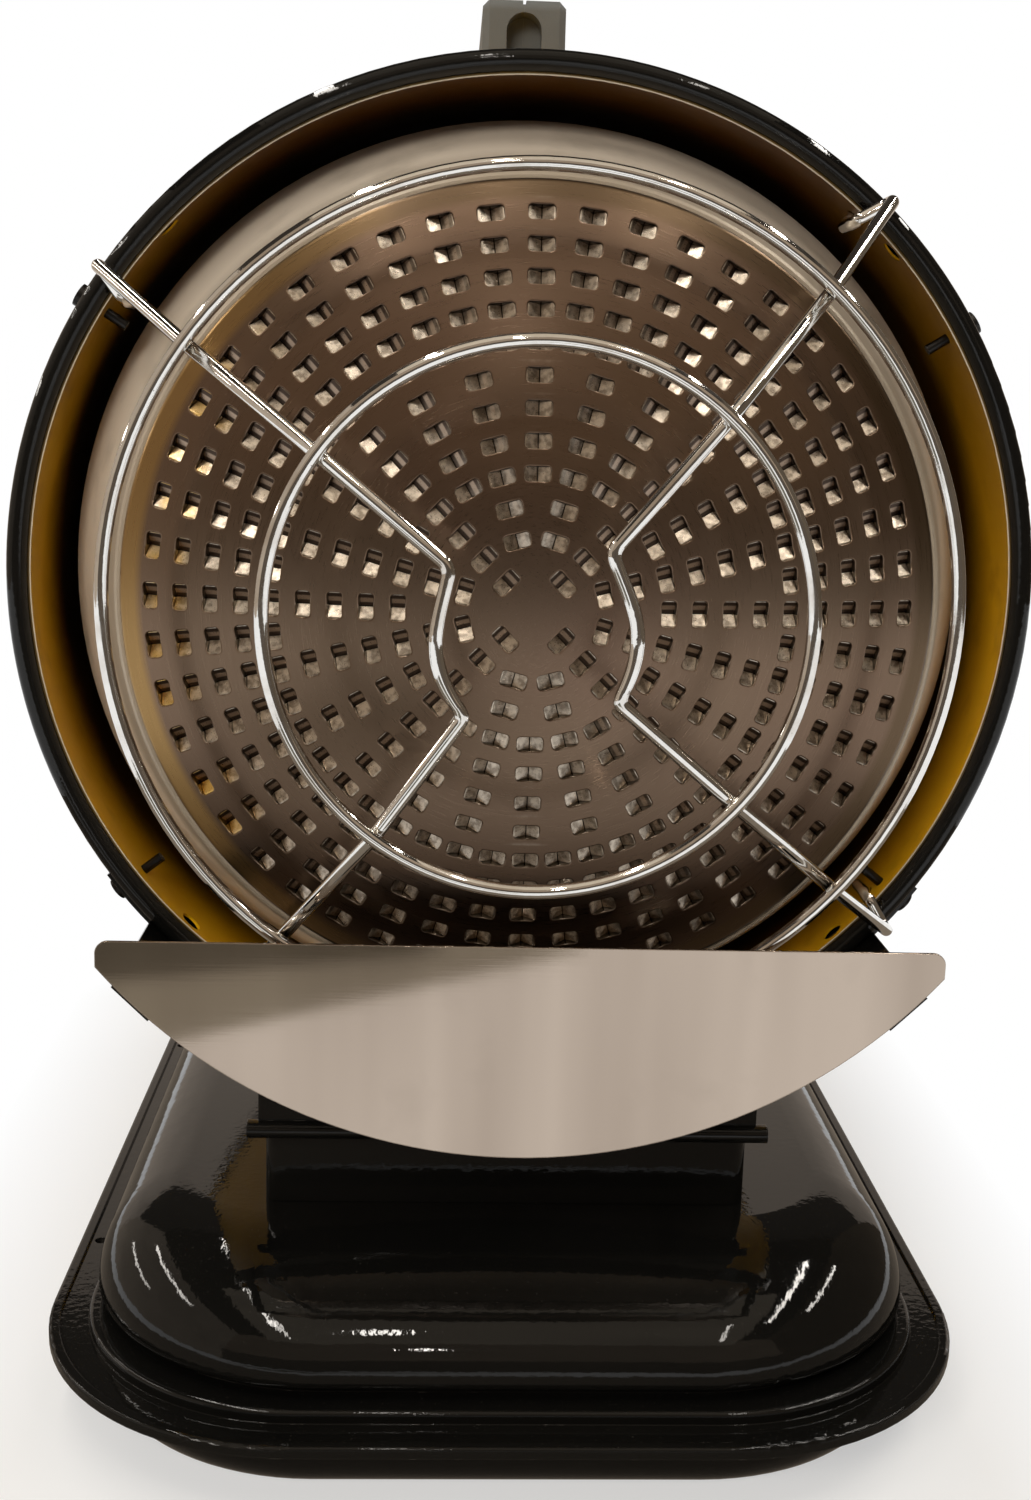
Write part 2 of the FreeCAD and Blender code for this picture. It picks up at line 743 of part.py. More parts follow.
def tilt_bolts():
    """Pivot bolt on each side, its nut inside the pedestal wall."""
    bolts = []
    for side in (-1, 1):
        seat = side * (saddle_inner_x + sheet + running_fit)
        inside = side * (pedestal_width / 2 - sheet)
        head_end = seat + side * bolt_head_height
        nut_end = inside - side * bolt_head_height
        shank = rod(pivot_radius, V(nut_end, pivot_y, pivot_z), V(seat, pivot_y, pivot_z))
        for start, end in ((seat, head_end), (inside, nut_end)):
            turns = [math.radians(60 * corner) for corner in range(7)]
            hexagon = Part.makePolygon([V(start, pivot_y + bolt_head_radius * math.cos(turn),
                                          pivot_z + bolt_head_radius * math.sin(turn)) for turn in turns])
            shank = shank.fuse(Part.Face(hexagon).extrude(V(end - start, 0, 0)))
        bolts.append(shank.removeSplitter())
    return Part.makeCompound(bolts)


def fuel_pump():
    """Solenoid pump on its base plate."""
    half = pump_base / 2
    height = tank_top + pump_rise
    base = box((pump_x - half, pump_y - half, tank_top),
               (pump_x + half, pump_y + half, tank_top + pump_base_thickness))
    body = rod(pump_radius, V(pump_x, pump_y - half, height), V(pump_x, pump_y + half, height))
    coil = box((pump_x - pump_coil_width / 2, pump_y - pump_coil_length / 2, tank_top),
               (pump_x + pump_coil_width / 2, pump_y + pump_coil_length / 2, tank_top + pump_coil_height))
    return fuse([base, body, coil])


def fuel_line_lower():
    """Pipe from the pickup to the pump's inlet."""
    start = V(pickup_x, pickup_y - pipe_radius, tank_top + pickup_port_rise)
    inlet = V(pump_x, pump_y + pump_base / 2, tank_top + pump_rise)
    corners = [(start, 0), (start - V(0, lower_line_out, 0), lower_line_bend),
               (inlet + V(0, lower_line_in, 0), lower_line_bend), (inlet, 0)]
    return bent_wire(corners, line_radius)


def ignition_transformer():
    """Potted block on a mounting foot, with two high-voltage terminals."""
    block = slab(transformer_width, transformer_length, transformer_corner,
                 tank_top, tank_top + transformer_height)
    foot = slab(transformer_foot_width, transformer_foot_length, transformer_corner, tank_top,
                tank_top + transformer_foot_thickness)
    face = -transformer_length / 2
    height = tank_top + terminal_rise
    terminals = [rod(terminal_radius, V(x, face, height), V(x, face - terminal_reach, height))
                 for x in (-terminal_spacing / 2, terminal_spacing / 2)]
    shape = fuse([block, foot] + terminals)
    shape.translate(V(transformer_x, transformer_y, 0))
    return shape


def control_panel():
    low = panel_middle_z - panel_height / 2
    plate = box((-panel_width / 2, pedestal_rear, low), (panel_width / 2, panel_front, low + panel_height))
    upright = [edge for edge in plate.Edges if edge.BoundBox.YLength > panel_thickness / 2
               and edge.BoundBox.XLength < 1e-6 and edge.BoundBox.ZLength < 1e-6]
    plate = plate.makeFillet(panel_corner, upright)
    window = box((switch_x - switch_width / 2, pedestal_rear, panel_middle_z - switch_height / 2),
                 (switch_x + switch_width / 2, panel_front, panel_middle_z + switch_height / 2))
    bores = [rod(radius, V(x, pedestal_rear, panel_middle_z), V(x, panel_front, panel_middle_z))
             for x, radius in ((knob_x, knob_shaft_radius + slip), (gland_x, gland_radius))]
    return plate.cut([window] + bores)


def control_board():
    """Circuit board on four posts, with its relay, choke and capacitors."""
    back = pedestal_rear - board_gap
    face = back - board_thickness
    low = tank_top + board_rise
    middle = low + board_height / 2
    half = board_width / 2
    shapes = [box((-half, face, low), (half, back, low + board_height))]
    for x, width, height, depth in ((relay_x, relay_width, relay_height, relay_depth),
                                    (choke_x, choke_width, choke_height, choke_depth)):
        shapes.append(box((x - width / 2, face - depth, middle - height / 2),
                          (x + width / 2, face, middle + height / 2)))
    for x in (capacitor_x - capacitor_spacing / 2, capacitor_x + capacitor_spacing / 2):
        shapes.append(rod(capacitor_radius, V(x, face, middle), V(x, face - capacitor_depth, middle)))
    for x in (board_post_inset - half, half - board_post_inset):
        for z in (low + board_post_inset, low + board_height - board_post_inset):
            shapes.append(rod(board_post_radius, V(x, back, z), V(x, pedestal_rear - sheet, z)))
    return fuse(shapes)


def switch_housing():
    """Snap-in housing with a bezel and a well for the rocker."""
    half_x, half_z = switch_width / 2, switch_height / 2
    def block(grow, rear, front):
        return box((switch_x - half_x - grow, rear, panel_middle_z - half_z - grow),
                   (switch_x + half_x + grow, front, panel_middle_z + half_z + grow))
    bezel_face = panel_front + switch_bezel_thickness
    body = block(0, pedestal_rear - switch_body_depth, panel_front)
    bezel = block(switch_bezel, panel_front, bezel_face)
    well = block(-switch_wall, pedestal_rear - switch_well_depth, bezel_face)
    return body.fuse(bezel).removeSplitter().cut(well)


def power_rocker():
    """Rocker cap that tips about X, with a hollow face and a round back."""
    half_x = switch_width / 2 - switch_wall - slip
    half_z = switch_height / 2 - switch_wall - 2 * slip
    face = panel_front + rocker_proud
    back = face - rocker_depth
    outline = [(half_z, back), (half_z, face), ((0, face - rocker_dip), (-half_z, face)), (-half_z, back),
               ((0, back - rocker_belly), (half_z, back))]
    wire = closed_wire(outline, lambda z, y: V(switch_x - half_x, y, panel_middle_z + z))
    return Part.Face(wire).extrude(V(2 * half_x, 0, 0))


def thermostat_body():
    body = rod(thermostat_radius, V(knob_x, pedestal_rear - thermostat_depth, panel_middle_z),
               V(knob_x, pedestal_rear, panel_middle_z))
    floor = pedestal_rear - thermostat_depth + thermostat_floor
    bore = rod(knob_shaft_radius + running_fit, V(knob_x, floor, panel_middle_z),
               V(knob_x, pedestal_rear, panel_middle_z))
    return body.cut(bore)


def thermostat_knob():
    face = panel_front + slip
    end = pedestal_rear - thermostat_depth + thermostat_floor + shaft_end_gap
    shaft = rod(knob_shaft_radius, V(knob_x, end, panel_middle_z), V(knob_x, face, panel_middle_z))
    knob = rod(knob_radius, V(knob_x, face, panel_middle_z), V(knob_x, face + knob_height, panel_middle_z))
    grooves = []
    for rib in range(knob_ribs):
        turn = 2 * math.pi * rib / knob_ribs
        x = knob_x + knob_radius * math.cos(turn)
        z = panel_middle_z + knob_radius * math.sin(turn)
        grooves.append(rod(knob_groove_radius, V(x, face + knob_skirt, z), V(x, face + knob_height, z)))
    mark = box((knob_x - knob_mark_width / 2, face + knob_height - knob_mark_depth, panel_middle_z),
               (knob_x + knob_mark_width / 2, face + knob_height, panel_middle_z + knob_radius))
    return knob.fuse(shaft).removeSplitter().cut(grooves + [mark])


def power_inlet():
    """Cable gland: a barrel through the rear wall and a tapered nose outside."""
    start = V(gland_x, pedestal_rear - gland_inside, panel_middle_z)
    face = V(gland_x, panel_front, panel_middle_z)
    end = face + V(0, gland_length, 0)
    nose = Part.makeCone(gland_radius + gland_flare, gland_radius, gland_length, face, V(0, 1, 0))
    return rod(gland_radius, start, face).fuse(nose).removeSplitter().cut(rod(gland_bore, start, end))


# Drum

def saddle_bracket():
    """Front wall, side walls and cradle under the drum, with the rolled lip and the pivot ears."""
    outer_x = saddle_inner_x + sheet
    front = saddle_front - sheet
    rear = saddle_rear
    top = axis_z
    wall = box((-outer_x, front, saddle_bottom), (outer_x, rear, top))
    inside = box((-saddle_inner_x, saddle_front, saddle_bottom), (saddle_inner_x, rear - sheet, top))
    passage = box((-saddle_inner_x, saddle_front, saddle_bottom),
                  (saddle_inner_x, rear, lid_top + saddle_rear_gap))
    shell = wall.cut([inside, passage])
    lip = box((-outer_x - lip_reach, front - lip_reach, saddle_bottom),
              (outer_x + lip_reach, saddle_front, saddle_bottom + lip_height))
    long_edges = [edge for edge in lip.Edges if edge.BoundBox.XLength > outer_x and edge.BoundBox.YMax < front]
    lip = lip.makeFillet(lip_height / 2 - fillet_margin, long_edges)
    ears = [rod(pivot_ear_radius, V(side * saddle_inner_x, pivot_y, pivot_z),
                V(side * outer_x, pivot_y, pivot_z))
            for side in (-1, 1)]
    webs = [box((min(side * saddle_inner_x, side * outer_x), pivot_y - pivot_ear_radius, pivot_z),
                (max(side * saddle_inner_x, side * outer_x), pivot_y + pivot_ear_radius, saddle_bottom + sheet))
            for side in (-1, 1)]
    cradle = ring(drum_radius, drum_radius + sheet, rim_length, rear - rim_y,
                  cradle_angle, -90 - cradle_angle / 2)
    body = fuse([shell, lip] + ears + webs)
    drum = turned([(0, rim_length), (drum_radius, rim_length), (drum_radius, drum_rear), (0, drum_rear)])
    rim = turned([(0, -rim_length), (rim_radius, -rim_length), (rim_radius, rim_length), (0, rim_length)])
    pivot = rod(pivot_radius + running_fit,
                V(-flange_width, pivot_y, pivot_z), V(flange_width, pivot_y, pivot_z))
    return body.fuse(cradle).cut([drum, rim, pivot, line_hole(), saddle_screws()]).removeSplitter()


def line_hole():
    """Where the fuel line passes through the drum and the saddle."""
    return rod(line_radius + line_hole_gap,
               drum_point(0, -90, line_drop_depth), drum_point(rim_radius, -90, line_drop_depth))


def saddle_screws():
    screws = []
    for angle in (-90 - saddle_screw_angle, -90 + saddle_screw_angle):
        for depth in (saddle_screw_front, saddle_screw_front + saddle_screw_pitch):
            screws.append(drum_screw(angle, drum_radius + sheet, drum_inner - screw_reach, depth))
    return Part.makeCompound(screws)


def drum_shell():
    """Rolled drum with the holes for what is fixed to it, for the guard's hooks, and four plain ones."""
    shell = ring(drum_inner, drum_radius, drum_front_depth, drum_rear)
    hooks = [rod(wire_radius + slip, drum_point(chamber_radius, angle, hook_depth),
                 drum_point(rim_radius, angle, hook_depth))
             for angle in hook_angles()]
    plain = [rod(wall_hole_radius, drum_point(chamber_radius, angle, wall_hole_depth),
                 drum_point(rim_radius, angle, wall_hole_depth))
             for angle in wall_hole_angles]
    screws = [saddle_screws(), rim_screws(), rear_cover_screws(), handle_screws(), motor_bracket_screws()]
    return shell.cut([line_hole()] + screws + hooks + plain)


def front_ring():
    """Hollow rolled ring around the drum's mouth."""
    nose = rim_height / 2
    middle = drum_radius + nose
    wall = thin_sheet
    outside = turned([(drum_radius, rim_length), (drum_radius, nose), round_to((middle, nose), nose, 270, 0),
                      (rim_radius, rim_length)])
    inside = turned([(drum_radius + wall, rim_length - wall), (drum_radius + wall, nose),
                     round_to((middle, nose), nose - wall, 270, 0), (rim_radius - wall, rim_length - wall)])
    slot = ring(drum_radius, drum_radius + wall, hook_depth - 2 * wire_radius, rim_length - wall)
    return outside.cut([inside, slot, rim_screws()])


def rim_screws():
    """Two screws above on the ring, and two below through the deflector's arms."""
    tip = drum_inner - rim_screw_reach
    heads = [rim_radius, rim_radius, rim_radius + sheet, rim_radius + sheet]
    screws = [drum_screw(angle, head, tip, rim_screw_depth) for angle, head in zip(rim_angles, heads)]
    return Part.makeCompound(screws)


def rear_cover():
    """Dished cover over the drum's rear with rings of air slots."""
    lip_front = drum_rear - rear_lip
    back = drum_rear + rear_dish
    bend = back - rear_bend
    inside = back - rear_wall
    cover = turned([(drum_radius, lip_front), (rear_radius, lip_front), (rear_radius, bend),
                    round_to((rear_radius - rear_bend, bend), rear_bend, 45, 90), (0, back), (0, inside),
                    (rear_radius - rear_bend, inside),
                    round_to((rear_radius - rear_bend, bend), rear_bend - rear_wall, 45, 0)])
    slots = []
    sweep = 360.0 / rear_slots_per_ring
    for count in range(rear_slot_rings):
        inner = rear_slot_inner + count * rear_slot_pitch
        for turn in range(rear_slots_per_ring):
            slots.append(ring(inner, inner + rear_slot_width, inside, back, sweep - rear_slot_web_angle,
                              turn * sweep + rear_slot_web_angle / 2))
    return cover.cut(slots + [rear_cover_screws()])


def rear_cover_screws():
    depth = drum_rear - rear_lip / 2
    screws = [drum_screw(angle, rear_radius, drum_inner - screw_reach, depth) for angle in rear_screw_angles]
    return Part.makeCompound(screws)


# Emitter and burner

def disc_sphere_radius():
    """Radius of the sphere that the disc's outer face belongs to."""
    return (disc_radius ** 2 + disc_sag ** 2) / (2 * disc_sag)


def disc_depth(radius):
    """Depth of the disc's outer face at a radius."""
    sphere = disc_sphere_radius()
    return -disc_apex + sphere - math.sqrt(sphere ** 2 - radius ** 2)


def perforations():
    """Blocks for the holes, in rings of equal radial pitch."""
    blocks = []
    for count, (holes, offset) in enumerate(perforation_rings[:perforation_fit]):
        radius = perforation_first + count * perforation_pitch
        front = disc_depth(radius) - perforation_pitch
        corner = V(radius - perforation_radial / 2, rim_y + front, axis_z - perforation_tangent / 2)
        block = Part.makeBox(perforation_radial, 2 * perforation_pitch, perforation_tangent, corner)
        for hole in range(holes):
            copy = block.copy()
            copy.rotate(V(0, 0, axis_z), V(0, -1, 0), offset + 360.0 * hole / holes)
            blocks.append(copy)
    return blocks


def radiant_disc():
    """Spun convex disc with its edge turned back, perforated in rings."""
    edge = disc_depth(disc_radius)
    half = disc_radius / 2
    inner = disc_radius - thin_sheet
    blank = turned([(0, -disc_apex), ((half, disc_depth(half)), (disc_radius, edge)),
                    (disc_radius, edge + disc_edge_height), (inner, edge + disc_edge_height),
                    (inner, disc_depth(inner) + thin_sheet),
                    ((half, disc_depth(half) + thin_sheet), (0, thin_sheet - disc_apex))])
    return blank.cut(perforations())


def emitter_ring():
    """Plain cone around the disc, with the ledge that the disc's edge sits on."""
    edge = disc_depth(disc_radius) + disc_edge_height
    seat = disc_radius
    front = disc_depth(disc_radius) + sheet
    wall = thin_sheet
    rear = emitter_rear_depth + emitter_lap
    return turned([(seat, edge), (seat, front), (seat + wall, front), (seat + 2 * wall, front + wall),
                   (emitter_crease_radius, emitter_crease_depth), (emitter_rear_radius, emitter_rear_depth),
                   (emitter_rear_radius, rear), (emitter_rear_radius - wall, rear),
                   (emitter_rear_radius - wall, emitter_rear_depth),
                   (emitter_crease_radius - wall, emitter_crease_depth),
                   (seat + wall, edge + wall), (seat - emitter_seat, edge + wall), (seat - emitter_seat, edge)])


def combustion_chamber():
    """Drum-shaped chamber, open to the emitter, with a cone at the rear down to the burner tube."""
    wall = thin_sheet
    neck = tube_radius + wall
    cone = chamber_rear - chamber_cone
    end = chamber_rear + chamber_neck
    return turned([(chamber_radius, chamber_front), (chamber_radius, cone), (neck, chamber_rear),
                   (neck, end), (tube_radius, end), (tube_radius, chamber_rear - wall),
                   (chamber_radius - wall, cone - wall), (chamber_radius - wall, chamber_front)])


def chamber_brackets():
    rear = bracket_depth + bracket_thickness
    brackets = [ring(chamber_radius, drum_inner, bracket_depth, rear,
                     bracket_width_angle, angle - bracket_width_angle / 2)
                for angle in bracket_angles]
    return Part.makeCompound(brackets)


def burner_tube():
    tube = ring(tube_radius - sheet, tube_radius, tube_front_depth, carrier_depth)
    collar = ring(tube_radius - sheet, tube_radius + tube_collar, carrier_depth - sheet, carrier_depth)
    return tube.fuse(collar).removeSplitter()


def window_ring(inner, outer, front, rear, count, spoke):
    """Ring of openings with spokes of a given angle between them."""
    pitch = 360.0 / count
    return [ring(inner, outer, front, rear, pitch - spoke, pitch * turn + spoke / 2) for turn in range(count)]


def burner_carrier():
    """Plate across the drum that carries the burner tube, with windows for the fan's air."""
    front, rear = carrier_depth, carrier_depth + carrier_thickness
    plate = ring(nozzle_holder_radius, drum_inner - carrier_rim_gap, front, rear)
    windows = window_ring(carrier_hub_radius, carrier_inner_window, front, rear,
                          carrier_inner_windows, carrier_inner_spoke)
    windows += window_ring(carrier_window_inner, carrier_window_outer, front, rear, carrier_outer_windows,
                           carrier_outer_spoke)
    reach = line_radius + line_hole_gap
    notch = box((-reach, rim_y + front, axis_z - drum_inner),
                (reach, rim_y + rear, axis_z - line_run_radius + reach))
    sensor = rod(sensor_radius, drum_point(sensor_offset, 0, front), drum_point(sensor_offset, 0, rear))
    return plate.cut(windows + [notch, sensor])


def nozzle_holder():
    bar = rod(nozzle_holder_radius, drum_point(0, 0, nozzle_holder_front), drum_point(0, 0, nozzle_holder_rear))
    port = rod(line_radius, drum_point(0, -90, line_rear_depth),
               drum_point(nozzle_holder_radius, -90, line_rear_depth))
    return bar.cut([nozzle_stem(), port])


def nozzle_stem():
    """The part of the nozzle that is screwed into its holder."""
    end = nozzle_holder_front + nozzle_stem_length
    return rod(nozzle_stem_radius, drum_point(0, 0, nozzle_holder_front), drum_point(0, 0, end))


def oil_nozzle():
    front = drum_point(0, 0, nozzle_holder_front - nozzle_length)
    cone = Part.makeCone(nozzle_tip_radius, nozzle_radius, nozzle_length, front, V(0, 1, 0))
    return nozzle_stem().fuse(cone).removeSplitter()


def flame_disc():
    """Slotted disc in the burner tube that swirls the air round the nozzle."""
    front, rear = flame_disc_depth, flame_disc_depth + sheet
    disc = ring(nozzle_holder_radius, tube_radius - sheet, front, rear)
    spoke = 360.0 / flame_slots - flame_slot_angle
    slots = window_ring(flame_slot_inner, flame_slot_outer, front, rear, flame_slots, spoke)
    passages = [rod(electrode_radius, electrode_point(side, front), electrode_point(side, rear))
                for side in (-1, 1)]
    return disc.cut(slots + passages)


def electrode_point(side, depth):
    """Point on an electrode's axis."""
    return V(side * electrode_spread, rim_y + depth, axis_z + electrode_offset)


def electrode(side):
    """Ceramic insulator with its bent wire tip."""
    front = electrode_front_depth
    insulator = rod(electrode_radius, electrode_point(side, front),
                    electrode_point(side, front + electrode_length))
    spark = V(side * spark_gap / 2, rim_y + spark_depth, axis_z + spark_height)
    tip = [(electrode_point(side, front + electrode_tip_radius), 0),
           (electrode_point(side, front - electrode_tip_length), electrode_tip_bend), (spark, 0)]
    return insulator.fuse(bent_wire(tip, electrode_tip_radius)).removeSplitter()


def flame_sensor():
    """Light-sensing eye in the carrier plate, with a collar behind it."""
    rear = carrier_depth + carrier_thickness
    end = rear + sensor_rear
    eye = rod(sensor_radius, drum_point(sensor_offset, 0, carrier_depth - sensor_front),
              drum_point(sensor_offset, 0, end))
    collar = rod(sensor_radius + sensor_collar, drum_point(sensor_offset, 0, rear),
                 drum_point(sensor_offset, 0, rear + sensor_collar_length))
    return eye.fuse(collar).removeSplitter()


def fuel_line_upper():
    """Pipe from the pedestal, along the drum's floor and up to the nozzle holder."""
    corners = [(drum_point(drum_radius + line_tail, -90, line_drop_depth), 0),
               (drum_point(line_run_radius, -90, line_drop_depth), line_drop_bend),
               (drum_point(line_run_radius, -90, line_rear_depth), line_bend),
               (drum_point(line_seat, -90, line_rear_depth), 0)]
    return bent_wire(corners, line_radius)


# Fan

def motor_bracket():
    """Three-armed bracket that carries the motor in the drum."""
    front = motor_bracket_depth
    rear = front + motor_bracket_thickness
    foot_inner = drum_inner - motor_foot_thickness
    shapes = [ring(motor_radius, motor_radius + motor_bracket_hub, front, rear)]
    for angle in motor_bracket_angles:
        arm = box((motor_radius + motor_bracket_hub / 2, rim_y + front, axis_z - motor_bracket_arm / 2),
                  (foot_inner, rim_y + rear, axis_z + motor_bracket_arm / 2))
        arm.rotate(V(0, 0, axis_z), V(0, -1, 0), angle)
        shapes.append(arm)
        shapes.append(ring(foot_inner, drum_inner, front - motor_foot_length, rear, motor_foot_angle,
                           angle - motor_foot_angle / 2))
    return fuse(shapes).cut(motor_bracket_screws())


def motor_bracket_screws():
    depth = motor_bracket_depth - motor_foot_length / 2
    tip = drum_inner - motor_foot_thickness - screw_reach
    return Part.makeCompound([drum_screw(angle, drum_radius, tip, depth) for angle in motor_bracket_angles])


def fan_motor():
    """Motor can with bevelled ends, a front boss and the shaft's bore."""
    rear = motor_front + motor_length
    boss_front = motor_front - motor_boss_length
    edge = motor_radius - motor_edge
    body = turned([(0, boss_front), (motor_boss_radius, boss_front), (motor_boss_radius, motor_front),
                   (edge, motor_front), (motor_radius, motor_front + motor_edge),
                   (motor_radius, rear - motor_edge), (edge, rear), (0, rear)])
    bore = rod(shaft_radius + running_fit, drum_point(0, 0, boss_front),
               drum_point(0, 0, shaft_rear + shaft_end_gap))
    return body.cut(bore)


def motor_shaft():
    return rod(shaft_radius, drum_point(0, 0, fan_depth - shaft_nose), drum_point(0, 0, shaft_rear))


def fan_wheel():
    """Axial wheel: a hub and pitched blades, each a cambered plate from the hub to the tip circle."""
    rear = fan_depth + fan_hub_length
    round_radius = fan_hub_radius - fan_hub_round
    hub = turned([(shaft_radius, fan_depth), (round_radius, fan_depth),
                  round_to((round_radius, fan_depth + fan_hub_round), fan_hub_round, 315, 0),
                  (fan_hub_radius, rear), (shaft_radius, rear)])
    middle = fan_depth + fan_hub_length / 2
    half = fan_blade_thickness / 2
    reach = fan_blade_chord / 2
    outline = [(-reach, -half), ((0, fan_blade_camber - half), (reach, -half)), (reach, half),
               ((0, fan_blade_camber + half), (-reach, half))]
    root = fan_hub_radius - fan_blade_root
    wire = closed_wire(outline, lambda along, across: V(root, rim_y + middle + across, axis_z + along))
    plate = Part.Face(wire).extrude(V(fan_radius, 0, 0))
    plate.rotate(V(0, rim_y + middle, axis_z), V(1, 0, 0), fan_pitch)
    blades = []
    for blade in range(fan_blades):
        turned_plate = plate.copy()
        turned_plate.rotate(V(0, 0, axis_z), V(0, -1, 0), 360.0 * blade / fan_blades)
        blades.append(turned_plate)
    tip = ring(shaft_radius, fan_radius, middle - fan_blade_chord, middle + fan_blade_chord)
    return hub.fuse(blades[0].fuse(blades[1:]).common(tip)).removeSplitter()


# Handle

def handle_half(side):
    """One moulded half of the bail handle: two posts, the grip and the arched hollow in the front end."""
    front, rear = rim_y + handle_depth, rim_y + handle_depth + handle_length
    top = axis_z + handle_top
    grip = top - handle_grip
    low = axis_z + math.sqrt(drum_radius ** 2 - (handle_width / 2) ** 2) - sheet
    corner = handle_corner
    outline = [(front, low), (front, top - corner), round_to((front + corner, top - corner), corner, 135, 90),
               (rear - corner, top), round_to((rear - corner, top - corner), corner, 45, 0), (rear, low),
               (rear - handle_post, low), (rear - handle_post, grip - corner),
               round_to((rear - handle_post - corner, grip - corner), corner, 45, 90),
               (front + handle_post + corner, grip),
               round_to((front + handle_post + corner, grip - corner), corner, 135, 180),
               (front + handle_post, low)]
    wire = closed_wire(outline, lambda y, z: V(0, y, z))
    half = Part.Face(wire).extrude(V(side * handle_width / 2, 0, 0))
    face = side * handle_width / 2
    above = grip + handle_corner / 2
    outer = [edge for edge in half.Edges if edge.BoundBox.ZMax > above
             and abs(edge.BoundBox.XMin - face) < 1e-4 and abs(edge.BoundBox.XMax - face) < 1e-4]
    half = half.makeChamfer(handle_chamfer, outer)
    roof = top - handle_hollow_roof
    reach = handle_hollow_width / 2
    floor = roof - handle_hollow_height
    spring = roof - reach
    arch = closed_wire([(0, floor), (reach, floor), (reach, spring), round_to((0, spring), reach, 45, 90)],
                       lambda x, z: V(side * x, front, z))
    hollow = Part.Face(arch).extrude(V(0, handle_hollow_depth, 0))
    side_of_groove = handle_groove_width / 2
    groove = box((-side_of_groove, front, top - handle_groove_depth), (side_of_groove, rear, top))
    drum = turned([(0, drum_front_depth), (drum_radius, drum_front_depth),
                   (drum_radius, drum_rear), (0, drum_rear)])
    return half.cut([hollow, groove, drum, handle_screws()])


def handle_screws():
    """Screws from inside the drum up into the posts."""
    screws = []
    for y in (rim_y + handle_depth + handle_post / 2, rim_y + handle_depth + handle_length - handle_post / 2):
        for x in (-handle_screw_x, handle_screw_x):
            seat = axis_z + math.sqrt(drum_inner ** 2 - (handle_screw_x + screw_head_radius) ** 2)
            screws.append(upright_screw(x, y, seat, axis_z + drum_radius + handle_screw_reach))
    return Part.makeCompound(screws)


# Deflector

def deflector_plate():
    """Segment of a disc below the emitter, with rounded upper corners."""
    half = deflector_half_width
    top = deflector_top
    corner = deflector_corner
    drop = -math.sqrt(deflector_radius ** 2 - half ** 2)
    outline = [(half, drop), (half, top - corner), round_to((half - corner, top - corner), corner, 45, 90),
               (corner - half, top), round_to((corner - half, top - corner), corner, 135, 180), (-half, drop),
               ((0, -deflector_radius), (half, drop))]
    wire = closed_wire(outline, lambda x, z: V(x, rim_y - deflector_reach, axis_z + z))
    return Part.Face(wire).extrude(V(0, thin_sheet, 0))


def deflector_arm(side):
    """Strip from the rim to the plate, with a tab turned in behind the plate and a foot along the rim."""
    front = rim_y - deflector_reach + thin_sheet
    rear = rim_y + arm_rear_depth
    outside = rim_radius + sheet
    strip = box((rim_radius, front, axis_z - arm_width / 2), (outside, rear, axis_z + arm_width / 2))
    tab = box((rim_radius - arm_tab, front, axis_z - arm_width / 2),
              (rim_radius, front + sheet, axis_z + arm_width / 2))
    arm = strip.fuse(tab).removeSplitter()
    arm.rotate(V(0, 0, axis_z), V(0, -1, 0), arm_angle)
    foot_end = lower_screw_angle + math.degrees(arm_foot_end / rim_radius)
    foot_front = rim_height / 2
    foot = ring(rim_radius, outside, foot_front, arm_rear_depth, foot_end - arm_angle, arm_angle)
    arm = fuse([arm, foot])
    if side < 0:
        arm = arm.mirror(V(0, 0, 0), V(1, 0, 0))
    return arm.cut(rim_screws())


# Guard

def hook_turn():
    """Angle between a leg and the hook's return run."""
    return math.degrees(hook_spacing / rim_radius)


def hook_angles():
    """Angles at which the hooks' tips enter the drum wall."""
    middles = (left_wire_angle, right_wire_angle)
    return [middle + side * guard_leg_angle + hook_turn() for middle in middles for side in (-1, 1)]


def guard_leg(angle, inwards):
    """Corners of one leg, from the tip in the drum wall to the kink near the middle."""
    back = angle + hook_turn()
    flat = -wire_radius
    inner = drum_inner - hook_inner_gap
    outer = rim_radius - hook_inset
    fold = hook_fold / 2
    outer_leg = 2 * wire_radius - guard_outer_reach - guard_outer_sink
    inner_leg = 2 * wire_radius - guard_inner_reach - guard_inner_sink
    kink = drum_point(guard_kink_radius, angle + inwards, inner_leg - guard_kink_rise)
    return [(drum_point(drum_radius + hook_tip, back, hook_depth), 0),
            (drum_point(inner, back, hook_depth), hook_bend),
            (drum_point(inner, back, flat), hook_bend), (drum_point(outer, angle, flat), fold),
            (drum_point(outer, angle, flat - hook_fold), fold),
            (drum_point(guard_outer_radius, angle, outer_leg), guard_ring_bend),
            (drum_point(guard_inner_radius, angle, inner_leg), guard_ring_bend), (kink, guard_kink_bend)]


def guard_wire(middle):
    """One bent wire: a leg up, a bowed middle and a leg down."""
    first = guard_leg(middle - guard_leg_angle, guard_kink_inset_angle)
    last = guard_leg(middle + guard_leg_angle, -guard_kink_inset_angle)
    rise = 2 * wire_radius - guard_inner_reach - guard_inner_sink - guard_kink_rise
    bow = (drum_point(guard_bow_radius, middle, rise), guard_ring_bend)
    rings = [guard_ring(guard_outer_radius, guard_outer_reach),
             guard_ring(guard_inner_radius, guard_inner_reach)]
    return bent_wire(first + [bow] + last[::-1], wire_radius).cut(rings)


def guard_ring(radius, reach):
    return Part.makeTorus(radius, wire_radius, V(0, rim_y - reach, axis_z), V(0, 1, 0))


